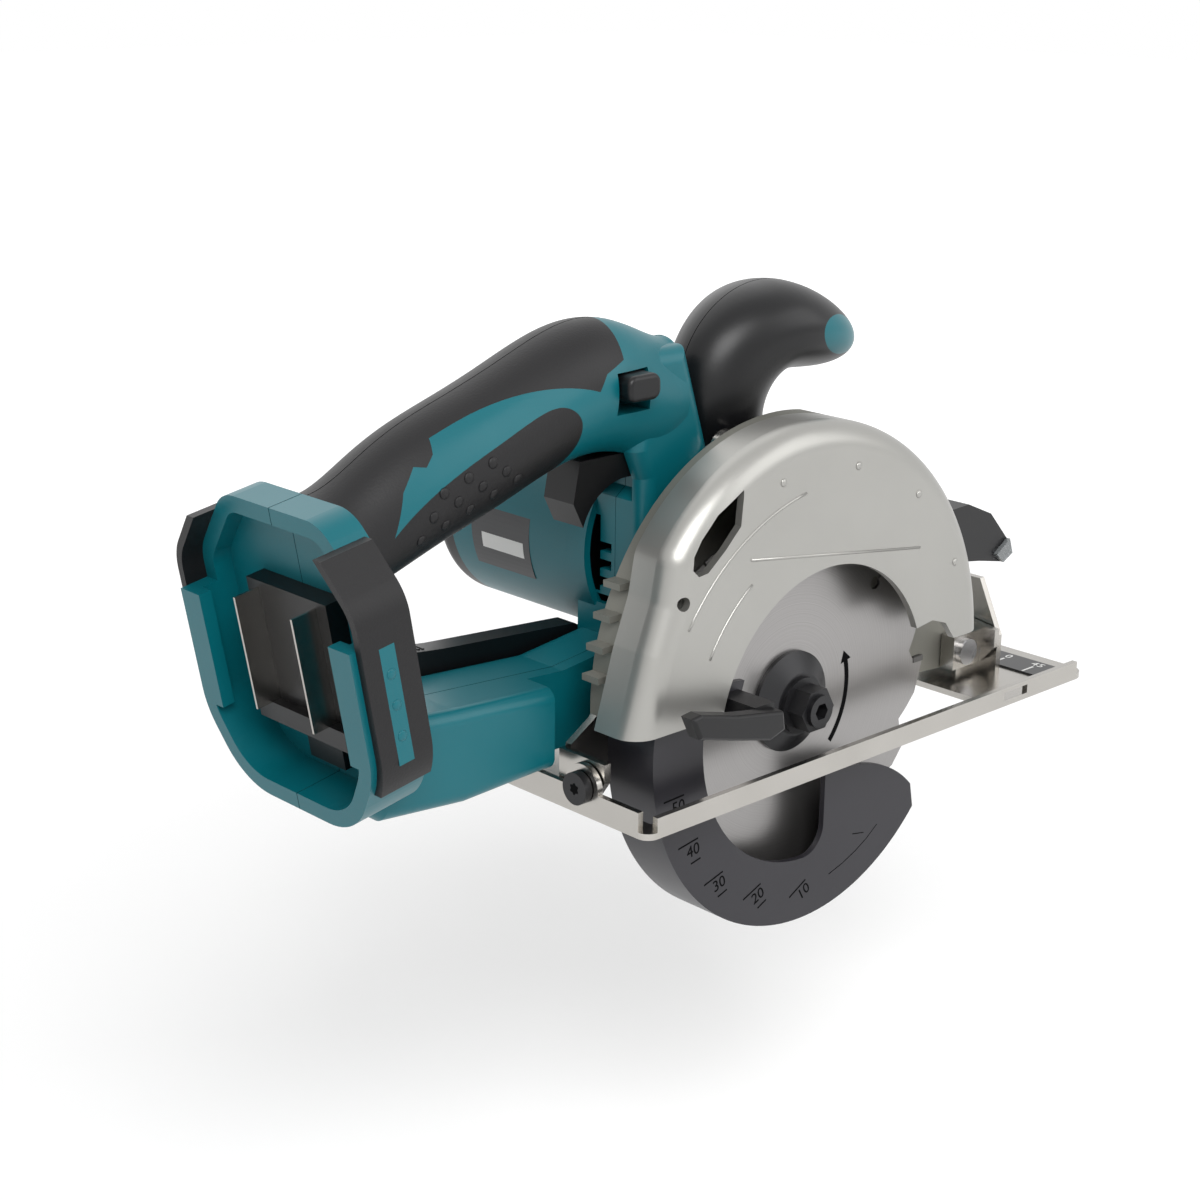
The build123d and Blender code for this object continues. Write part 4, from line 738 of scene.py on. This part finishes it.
def box_shape(half_mm: Point, chamfer_mm: float) -> Mesh:
    """Make a block with chamfered edges.

    Args:
        half_mm: half sizes.
        chamfer_mm: width of the chamfers.

    Returns:
        Its mesh in metres.
    """
    work = bmesh.new()
    bmesh.ops.create_cube(work, size=2.0)
    bmesh.ops.scale(work, vec=[half * MM for half in half_mm], verts=work.verts)
    bmesh.ops.bevel(work, geom=list(work.edges), offset=chamfer_mm * MM, segments=1, affect="EDGES")
    mesh = bpy.data.meshes.new("block")
    work.to_mesh(mesh)
    work.free()
    return mesh


@dataclass
class GuardScale:
    """Depth figures and marks moulded into the near face of the lower guard, laid as thin near-black marks:
    painted shade of their grooves.
    """

    face_mm: float = -43.0
    depth_mm: float = 0.06
    pivot: Flat = (96.0, 11.0)
    figures: tuple[tuple[str, float, float], ...] = (
        ("50", -60.0, 0.8),
        ("40", -53.1, -15.3),
        ("30", -41.2, -30.0),
        ("20", -23.2, -39.7),
        ("10", -1.3, -45.0),
    )
    figure_mm: float = 5.6
    tick_half_mm: float = 0.25
    long_tick_mm: float = 8.5
    long_tick_back_mm: float = 6.0
    long_tick_aside_mm: float = 3.4
    short_tick_mm: float = 4.2
    short_tick_back_mm: float = 1.6
    short_tick_aside_mm: float = -3.9
    line: tuple[Flat, ...] = ((10.8, -42.7), (17.6, -40.8), (23.9, -38.3), (29.4, -35.4), (34.3, -31.9))
    pointer: tuple[Flat, ...] = ((21.9, -31.8), (27.6, -32.9))
    line_radius_mm: float = 0.35
    line_sink_mm: float = 0.25

    def axes(self, spot: Vector) -> tuple[Vector, Vector]:
        """Give the two directions of the marks at a spot.

        Args:
            spot: the spot in millimetres.

        Returns:
            The direction toward the pivot and the one across it.
        """
        run = Vector((self.pivot[0] - spot.x, 0.0, self.pivot[1] - spot.z)).normalized()
        return run, Vector((-run.z, 0.0, run.x))

    def tick(self, spot: Vector, length_mm: float) -> tuple[Mesh, Matrix]:
        """Make one tick that runs toward the pivot.

        Args:
            spot: start of the tick in millimetres.
            length_mm: its length.

        Returns:
            The tick and its placing matrix.
        """
        mesh = bar((0.0, length_mm), (-self.tick_half_mm, self.tick_half_mm), self.depth_mm)
        return mesh, placing((spot.x, self.face_mm, spot.z), *self.axes(spot))

    def build(self, workshop: Workshop) -> None:
        """Set figures, ticks and the curved line, all in painted groove shade.

        Args:
            workshop: gives the materials.
        """
        parts = []
        last = len(self.figures) - 1
        for index, (text, x, z) in enumerate(self.figures):
            spot = Vector((x, 0.0, z))
            run, across = self.axes(spot)
            start = spot + across * self.long_tick_aside_mm - run * self.long_tick_back_mm
            parts.append(self.tick(start, self.long_tick_mm))
            figure = lettering(text, self.figure_mm, 2 * self.depth_mm)
            parts.append((figure, placing((x, self.face_mm, z), run, across)))
            if 0 < index < last:
                start = spot + across * self.short_tick_aside_mm - run * self.short_tick_back_mm
                parts.append(self.tick(start, self.short_tick_mm))
        # Painted shade: near-black marks stand in for the grooves of the moulded figures, ticks and line.
        shade = workshop.material(MOULD_SHADE)
        add_piece("guard_scale", finished(joined(parts), shade), Body.LOWER_GUARD)
        level = self.face_mm + self.line_sink_mm
        rows = [[Vector((x, level, z)) * MM for x, z in line] for line in (self.line, self.pointer)]
        lines = bead(rows, self.line_radius_mm)
        add_piece("guard_scale_line", finished(lines, shade), Body.LOWER_GUARD)


@dataclass
class GuardFace:
    """Cast ribs and ejector domes on the upper guard's near face."""

    face_mm: float = -47.5
    domes: tuple[Flat, ...] = ((-23.3, 94.8), (10.8, 94.4), (41.1, 80.4), (62.0, 54.0))
    dome_radius_mm: float = 1.3
    dome_height_mm: float = 0.6
    rib: tuple[Flat, ...] = ((-36.3, 73.6), (43.1, 62.5))
    # Radius, first and last angle of the curved ribs about the blade's axis.
    arcs: tuple[Point, ...] = ((74.0, 100.0, 147.0), (60.5, 126.0, 151.0))
    rib_radius_mm: float = 0.5
    rib_sink_mm: float = 0.15

    def build(self, workshop: Workshop) -> None:
        """Set the domes and draw the ribs.

        Args:
            workshop: gives the materials.
        """
        metal = workshop.material(CASTING)
        near, east = Vector(NEAR), Vector(EAST)
        places = [Place(Vector((x, self.face_mm, z)) * MM, near, east) for x, z in self.domes]
        scatter = Scatter("guard_domes", dome_shape(), metal)
        domes = scatter.mesh(places, self.dome_radius_mm * MM, self.dome_height_mm * MM)
        add_piece("guard_domes", domes, Body.SAW)
        level = self.face_mm + self.rib_sink_mm
        lines = [[Vector((x, level, z)) * MM for x, z in self.rib]]
        lines += [arc_points(BLADE_AXIS, *arc, level) for arc in self.arcs]
        add_piece("guard_ribs", finished(bead(lines, self.rib_radius_mm), metal), Body.SAW)


@dataclass
class RatingPlate:
    """Bare film plate laid round the motor cup."""

    centre: Flat = (-18.0, 65.6)
    radius: float = 33.0
    y_range: Flat = (34.0, 62.0)
    angles: Flat = (158.0, 205.0)
    lift_mm: float = 0.08
    strip_y: Flat = (37.0, 57.0)
    strip_angles: Flat = (184.0, 193.0)
    strip_lift_mm: float = 0.12
    sink_mm: float = 0.05
    steps: int = 16

    def sheet(self, lift: float, angles: Flat, y_range: Flat) -> Mesh:
        """Bend one sheet round the cup.

        Args:
            lift: height of its outer face over the cup.
            angles: first and last angle round the cup, in degrees.
            y_range: its two ends along the cup.

        Returns:
            The sheet's mesh, with its under face just in the cup.
        """
        first, last = angles
        points = []
        for reach in (self.radius - self.sink_mm, self.radius + lift):
            for step in range(self.steps + 1):
                x, z = on_circle(self.centre, reach, first + (last - first) * step / self.steps)
                points += [Vector((x, y, z)) * MM for y in y_range]
        row = 2 * (self.steps + 1)
        faces = []
        for step in range(self.steps):
            a, b, c, d = 2 * step, 2 * step + 1, 2 * step + 3, 2 * step + 2
            faces += [(a, b, c, d), (a + row, d + row, c + row, b + row)]
            faces += [(a, d, d + row, a + row), (b, b + row, c + row, c)]
        faces += [(0, row, row + 1, 1), (row - 2, row - 1, 2 * row - 1, 2 * row - 2)]
        mesh = bpy.data.meshes.new("sheet")
        mesh.from_pydata(points, [], faces)
        return mesh

    def build(self, workshop: Workshop) -> None:
        """Lay the dark plate and its pale bare strip.

        Args:
            workshop: gives the materials.
        """
        for name, lift, angles, y_range, film in (
            ("rating_plate", self.lift_mm, self.angles, self.y_range, PLATE_FILM),
            ("rating_plate_strip", self.strip_lift_mm, self.strip_angles, self.strip_y, PRINTED_FILM),
        ):
            mesh = finished(self.sheet(lift, angles, y_range), workshop.material(film))
            add_piece(name, mesh, Body.SAW)


@dataclass
class SoftGrip:
    """Raised dots of the soft grip and of the foot strips."""

    first: Flat = (-109.4, 109.0)
    column: Flat = (5.1, -3.3)
    row: Flat = (-8.6, -2.9)
    columns: int = 3
    rows: int = 5
    full_rows: int = 3
    grip_dot_radius_mm: float = 1.7
    grip_dot_height_mm: float = 0.55
    foot: Point = (-173.5, 0.0, 59.0)
    foot_up: Point = (-0.1805, 0.0, 0.98357)
    foot_rear: Point = (-0.98357, 0.0, -0.1805)
    foot_heights_mm: Point = (-12.0, -3.0, 6.0)
    foot_search_mm: int = 24
    foot_dot_radius_mm: float = 1.5
    foot_dot_height_mm: float = 0.4
    ray_start_mm: float = 60.0

    def grip_dots(self, workshop: Workshop) -> None:
        """Set the dots on both cheeks of the grip.

        Args:
            workshop: gives the materials.
        """
        for node, side in (("grip_right", -1.0), ("grip_left", 1.0)):
            places = []
            for j in range(self.rows):
                for i in range(max(0, j + 1 - self.full_rows), self.columns):
                    x = self.first[0] + i * self.column[0] + j * self.row[0]
                    z = self.first[1] + i * self.column[1] + j * self.row[1]
                    places.append(cast(node, (x, side * self.ray_start_mm, z), (0.0, -side, 0.0), EAST))
            name = f"{node}_dots"
            scatter = Scatter(name, dome_shape(), workshop.material(ELASTOMER))
            mesh = scatter.mesh(places, self.grip_dot_radius_mm * MM, self.grip_dot_height_mm * MM)
            add_piece(name, mesh, Body.SAW)

    def strip_middle(self, spot: Vector, side: float) -> Place:
        """Find the middle of a foot strip at one height.

        Args:
            spot: a point at that height in the saw's middle plane, in millimetres.
            side: minus one for the near strip, one for the far strip.

        Returns:
            The place halfway across the strip's side face.
        """
        inward = Vector((0.0, -side, 0.0))
        hits = []
        for reach in range(-self.foot_search_mm, self.foot_search_mm):
            start = spot + Vector(self.foot_rear) * reach
            start.y = side * self.ray_start_mm
            hit, at, normal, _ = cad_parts["foot_strips"].ray_cast(start * MM, inward)
            if hit and abs(normal.y) > SIDE_FACE:
                hits.append(Place(at, normal, Vector(EAST)))
        return hits[len(hits) // 2]

    def foot_dots(self, workshop: Workshop) -> None:
        """Set three dots on each strip of the battery foot.

        Args:
            workshop: gives the materials.
        """
        spots = [Vector(self.foot) + Vector(self.foot_up) * height for height in self.foot_heights_mm]
        places = [self.strip_middle(spot, side) for side in (-1.0, 1.0) for spot in spots]
        scatter = Scatter("foot_dots", dome_shape(), workshop.material(TEAL))
        mesh = scatter.mesh(places, self.foot_dot_radius_mm * MM, self.foot_dot_height_mm * MM)
        add_piece("foot_dots", mesh, Body.SAW)

    def build(self, workshop: Workshop) -> None:
        """Set all dots.

        Args:
            workshop: gives the materials.
        """
        self.grip_dots(workshop)
        self.foot_dots(workshop)


@dataclass
class PartingLines:
    """Fine dark lines where two moulded halves meet."""

    halves: tuple[tuple[str, Slot, Finish], ...] = (
        ("grip_right", Slot.ELASTOMER, MOULD_SHADE),
        ("knob_right", Slot.BLACK, MOULD_SHADE),
        ("housing_right", Slot.TEAL, TEAL_SHADE),
    )
    reach_mm: float = 0.25
    radius_mm: float = 0.22
    sink_mm: float = 0.16

    def lines(self, node: str) -> list[list[Vector]]:
        """Find the outer edges of a half's parting face.

        Args:
            node: the half's node.

        Returns:
            Short lines along the parting edge, a little sunk.
        """
        work = bmesh.new()
        work.from_mesh(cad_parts[node].data)
        bmesh.ops.remove_doubles(work, verts=work.verts, dist=NODE_WELD)
        work.normal_update()
        found = []
        for edge in work.edges:
            if max(abs(vert.co.y) for vert in edge.verts) > self.reach_mm * MM or len(edge.link_faces) != 2:
                continue
            skins = [face for face in edge.link_faces if abs(face.normal.y) < SIDE_FACE]
            if len(skins) != 1:
                continue
            inward = skins[0].normal * (-self.sink_mm * MM)
            found.append([vert.co + inward for vert in edge.verts])
        work.free()
        return found

    def build(self, workshop: Workshop) -> None:
        """Lay the lines on grip, knob and housing.

        Args:
            workshop: gives the materials.
        """
        for node, slot, shade in self.halves:
            mesh = bead(self.lines(node), self.radius_mm)
            add_piece(f"{node}_seam", finished(mesh, workshop.material(shade)), Body.SAW)


@dataclass
class LeverRibs:
    """Finger ribs across the free end of the depth lock lever."""

    node: str = "depth_lock_lever"
    start_mm: float = 1.6
    pitch_mm: float = 1.7
    count: int = 8
    rib_half_mm: Point = (0.4, 2.2, 0.35)
    rib_chamfer_mm: float = 0.15
    ray_rise_mm: float = 5.0

    def build(self, workshop: Workshop) -> None:
        """Set the ribs along the lever's top.

        Args:
            workshop: gives the materials.
        """
        points = [vertex.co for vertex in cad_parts[self.node].data.vertices]
        first = min(point.x for point in points) / MM + self.start_mm
        limit = first + self.pitch_mm * self.count
        tail = [point.y / MM for point in points if point.x / MM < limit]
        middle = (min(tail) + max(tail)) / 2
        top = max(point.z for point in points) / MM + self.ray_rise_mm
        places = []
        for rib in range(self.count):
            places.append(cast(self.node, (first + self.pitch_mm * rib, middle, top), DOWN, EAST))
        block = box_shape(self.rib_half_mm, self.rib_chamfer_mm)
        mesh = Scatter("lever_ribs", block, workshop.material(BLACK_NYLON)).mesh(places, 1.0, 1.0)
        add_piece("lever_ribs", mesh, Body.DEPTH_LOCK)


@dataclass
class ScrewHeads:
    """Painted shade of the six-lobed recesses in the screw heads: flat near-black stars laid on the heads."""

    housing: tuple[Flat, ...] = ((-36.0, 116.0), (-140.0, 27.0), (-105.0, 25.0), (-62.0, 22.0))
    housing_ray_mm: float = 90.0
    housing_recess_mm: float = 1.6
    bevel_ray_mm: Point = (-200.0, -26.5, 9.0)
    bevel_recess_mm: float = 1.9
    recess_height_mm: float = 0.05

    def build(self, workshop: Workshop) -> None:
        """Set a flat dark star on each head: painted shade of its recess.

        Args:
            workshop: gives the materials.
        """
        # Painted shade: a near-black star stands in for each head's recess.
        dark = workshop.material(MOULD_SHADE)
        sides = [cast("housing_screws", (x, self.housing_ray_mm, z), NEAR, EAST) for x, z in self.housing]
        rear = [cast("bevel_screw", self.bevel_ray_mm, EAST, UP)]
        for name, places, radius, body in (
            ("housing_screw_recesses", sides, self.housing_recess_mm, Body.SAW),
            ("bevel_screw_recess", rear, self.bevel_recess_mm, Body.DEPTH),
        ):
            scatter = Scatter(name, star_shape(), dark)
            mesh = scatter.mesh(places, radius * MM, self.recess_height_mm * MM)
            add_piece(name, mesh, body)


@dataclass
class BladeTrim:
    """Carbide tips and the turning arrow of the blade."""

    teeth: int = 16
    middle_mm: float = -31.5
    near_face_mm: float = -32.0
    tip_reach_mm: float = 65.45
    tip_back_mm: float = 1.05
    tip_half_mm: Point = (2.5, 1.0, 0.85)
    tip_chamfer_mm: float = 0.15
    arrow_radii: Flat = (27.5, 29.5)
    arrow_first: float = -42.0
    arrow_turn: float = 56.0
    arrow_steps: int = 14
    # Radius and angle of the three corners of the arrow's head.
    arrow_head: tuple[Flat, ...] = ((26.0, 14.0), (28.5, 22.0), (31.0, 14.0))
    arrow_thickness_mm: float = 0.03

    def tips(self, workshop: Workshop) -> None:
        """Set one brazed tip on each tooth.

        Args:
            workshop: gives the materials.
        """
        middle = Vector((BLADE_AXIS[0], self.middle_mm, BLADE_AXIS[1]))
        places = []
        for tooth in range(self.teeth):
            angle = math.radians(-tooth * 360.0 / self.teeth)
            out = Vector((math.cos(angle), 0.0, math.sin(angle)))
            turn = Vector((-math.sin(angle), 0.0, math.cos(angle)))
            spot = middle + out * self.tip_reach_mm - turn * self.tip_back_mm
            places.append(Place(spot * MM, Vector(NEAR), out))
        block = box_shape(self.tip_half_mm, self.tip_chamfer_mm)
        mesh = Scatter("carbide_tips", block, workshop.material(CARBIDE)).mesh(places, 1.0, 1.0)
        add_piece("carbide_tips", mesh, Body.BLADE)

    def arrow(self, workshop: Workshop) -> None:
        """Print the arrow that shows the way the blade turns.

        Args:
            workshop: gives the materials.
        """
        inner, outer = self.arrow_radii
        steps = range(self.arrow_steps + 1)
        turns = [self.arrow_first + self.arrow_turn * step / self.arrow_steps for step in steps]
        corners = [(inner, turn) for turn in turns]
        corners += self.arrow_head
        corners += [(outer, turn) for turn in reversed(turns)]
        outline = [on_circle((0.0, 0.0), reach, turn) for reach, turn in corners]
        place = placing((BLADE_AXIS[0], self.near_face_mm, BLADE_AXIS[1]), EAST, UP)
        mesh = joined([(plate(outline, self.arrow_thickness_mm), place)])
        add_piece("turn_arrow", finished(mesh, workshop.material(MOULD_SHADE)), Body.BLADE)

    def build(self, workshop: Workshop) -> None:
        """Set the tips and print the arrow.

        Args:
            workshop: gives the materials.
        """
        self.tips(workshop)
        self.arrow(workshop)


@dataclass
class SightMarks:
    """White marks of the sight label at the base's front."""

    middle: Flat = (120.0, -35.2)
    top_mm: float = 2.6
    marks: tuple[tuple[str, float], ...] = (("0", 7.0), ("45", -5.5))
    line_width: Flat = (-0.4, 0.4)
    line_length: Flat = (-6.0, 0.5)
    line_thickness_mm: float = 0.05
    figure_mm: float = 5.0
    figure_ahead_mm: float = 3.2
    figure_thickness_mm: float = 0.1

    def build(self, workshop: Workshop) -> None:
        """Print the two lines and the two figures.

        Args:
            workshop: gives the materials.
        """
        x, y = self.middle
        parts = []
        for text, shift in self.marks:
            line = bar(self.line_width, self.line_length, self.line_thickness_mm)
            parts.append((line, placing((x, y + shift, self.top_mm), NEAR, EAST)))
            figure = lettering(text, self.figure_mm, self.figure_thickness_mm)
            parts.append((figure, placing((x + self.figure_ahead_mm, y + shift, self.top_mm), NEAR, EAST)))
        mesh = finished(joined(parts), workshop.material(PRINTED_FILM))
        add_piece("sight_marks", mesh, Body.BASE)


def eye_rays(tree: Tree) -> Node:
    """Tell the rays that show a surface to the eye from those that only carry light.

    Args:
        tree: node tree that gets the nodes.

    Returns:
        A node whose value is one for camera, transmission and glossy rays.
    """
    path = add_node(tree, "ShaderNodeLightPath")
    seen = add_node(tree, "ShaderNodeMath", {
        0: (path, "Is Camera Ray"), 1: (path, "Is Transmission Ray"),
    }, operation="MAXIMUM")
    return add_node(tree, "ShaderNodeMath", {
        0: (seen, "Value"), 1: (path, "Is Glossy Ray"),
    }, operation="MAXIMUM")


@dataclass(frozen=True)
class Lamp:
    """One square soft lamp: its place and side in metres, and its power in watts."""

    name: str
    place: Point
    side: float
    watts: float


@dataclass
class Studio:
    """Floor, soft lamps, white surround and the camera of the picture."""

    camera_mm: Point = (-484.94, -454.28, 250.48)
    right: Point = (0.72629159, -0.68730222, 0.01077835)
    up: Point = (0.19836354, 0.2245779, 0.95405276)
    back: Point = (-0.65814317, -0.69078247, 0.29944475)
    lens_mm: float = 64.5
    sensor_mm: float = 36.0
    clip_start_m: float = 0.01
    ambient: float = 0.5
    floor_colour: str = "#f4f4f4"
    floor_half_m: float = 6.0
    floor_lift: float = 0.1
    far_floor_lift: float = 0.62
    lift_starts_m: float = 0.4
    lift_ends_m: float = 1.8
    floor_drop_mm: float = 106.0
    lamp_aim: Point = (-0.03, 0.0, 0.04)
    lamps: tuple[Lamp, ...] = (
        Lamp("key_softbox", (-0.7, -1.0, 1.1), 0.8, 17.0),
        Lamp("fill_softbox", (0.9, -1.2, 0.9), 1.2, 8.0),
        Lamp("rear_softbox", (0.2, 1.2, 1.2), 2.2, 10.0),
    )

    def camera(self) -> None:
        """Place the camera where the picture was taken from."""
        data = bpy.data.cameras.new("picture_camera")
        data.lens = self.lens_mm
        data.sensor_width = self.sensor_mm
        data.clip_start = self.clip_start_m
        camera = bpy.data.objects.new("picture_camera", data)
        bpy.context.scene.collection.objects.link(camera)
        place = Matrix((self.right, self.up, self.back)).transposed().to_4x4()
        place.translation = Vector(self.camera_mm) * MM
        camera.matrix_world = place
        bpy.context.scene.camera = camera

    def hang(self, lamp: Lamp) -> None:
        """Hang one lamp, turned toward the saw.

        Args:
            lamp: the lamp's values.
        """
        data = bpy.data.lights.new(lamp.name, "AREA")
        data.size = lamp.side
        data.energy = lamp.watts
        holder = bpy.data.objects.new(lamp.name, data)
        bpy.context.scene.collection.objects.link(holder)
        holder.location = lamp.place
        facing = Vector(self.lamp_aim) - Vector(lamp.place)
        holder.rotation_euler = facing.to_track_quat("-Z", "Y").to_euler()

    def surround(self) -> None:
        """White world for the camera and for reflections, softer for light."""
        world = bpy.data.worlds.new("white_surround")
        bpy.context.scene.world = world
        world.use_nodes = True
        tree = world.node_tree
        tree.nodes.clear()
        strength = add_node(tree, "ShaderNodeMapRange", {
            "Value": (eye_rays(tree), "Value"), TO_LOW: self.ambient, TO_HIGH: 1.0,
        })
        light = add_node(tree, "ShaderNodeBackground", {"Color": WHITE, "Strength": (strength, "Result")})
        add_node(tree, "ShaderNodeOutputWorld", {"Surface": (light, "Background")})

    def floor_material(self) -> Material:
        """Make the floor's pale matt surface, which brightens into the white surround.

        Returns:
            The material.
        """
        material = bpy.data.materials.new("pale_studio_floor")
        material.use_nodes = True
        tree = material.node_tree
        tree.nodes.clear()
        coords = add_node(tree, "ShaderNodeTexCoord")
        reach = add_node(tree, "ShaderNodeVectorMath", {0: (coords, "Object")}, operation="LENGTH")
        level = add_node(tree, "ShaderNodeMapRange", {
            "Value": (reach, "Value"),
            FROM_LOW: self.lift_starts_m,
            FROM_HIGH: self.lift_ends_m,
            TO_LOW: self.floor_lift,
            TO_HIGH: self.far_floor_lift,
        })
        lift = add_node(tree, "ShaderNodeMath", {
            0: (eye_rays(tree), "Value"), 1: (level, "Result"),
        }, operation="MULTIPLY")
        matt = add_node(tree, "ShaderNodeBsdfDiffuse", {"Color": linear(self.floor_colour)})
        glow = add_node(tree, "ShaderNodeEmission", {"Color": WHITE, "Strength": (lift, "Value")})
        both = add_node(tree, "ShaderNodeAddShader", {0: (matt, "BSDF"), 1: (glow, "Emission")})
        add_node(tree, "ShaderNodeOutputMaterial", {"Surface": (both, "Shader")})
        return material

    def floor(self, height: float) -> None:
        """Lay a pale floor that keeps the shadow.

        Args:
            height: level of the floor in metres.
        """
        half = self.floor_half_m
        corners = [(x * half, y * half, height) for x, y in ((-1, -1), (1, -1), (1, 1), (-1, 1))]
        mesh = bpy.data.meshes.new("floor")
        mesh.from_pydata(corners, [], [(0, 1, 2, 3)])
        mesh.materials.append(self.floor_material())
        floor = bpy.data.objects.new("floor", mesh)
        bpy.context.scene.collection.objects.link(floor)
        floor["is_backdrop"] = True

    def build(self, floor_height: float) -> None:
        """Set up the whole studio.

        Args:
            floor_height: level of the floor in metres.
        """
        self.camera()
        self.surround()
        self.floor(floor_height)
        for lamp in self.lamps:
            self.hang(lamp)


def main() -> None:
    """Build the saw's looks, piece by piece, and the studio round it."""
    logging.basicConfig(level=logging.INFO, format="%(name)s %(message)s")
    cad_low, cad_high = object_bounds()
    workshop = Workshop()
    workshop.dress_nodes()
    for group in (
        GuardScale(), GuardFace(), RatingPlate(), SoftGrip(), PartingLines(), LeverRibs(), ScrewHeads(),
        BladeTrim(), SightMarks(),
    ):
        group.build(workshop)
    studio = Studio()
    studio.build(cad_low[2] - studio.floor_drop_mm * MM)
    bpy.context.scene.view_settings.view_transform = "Standard"


if __name__ == "__main__":
    main()
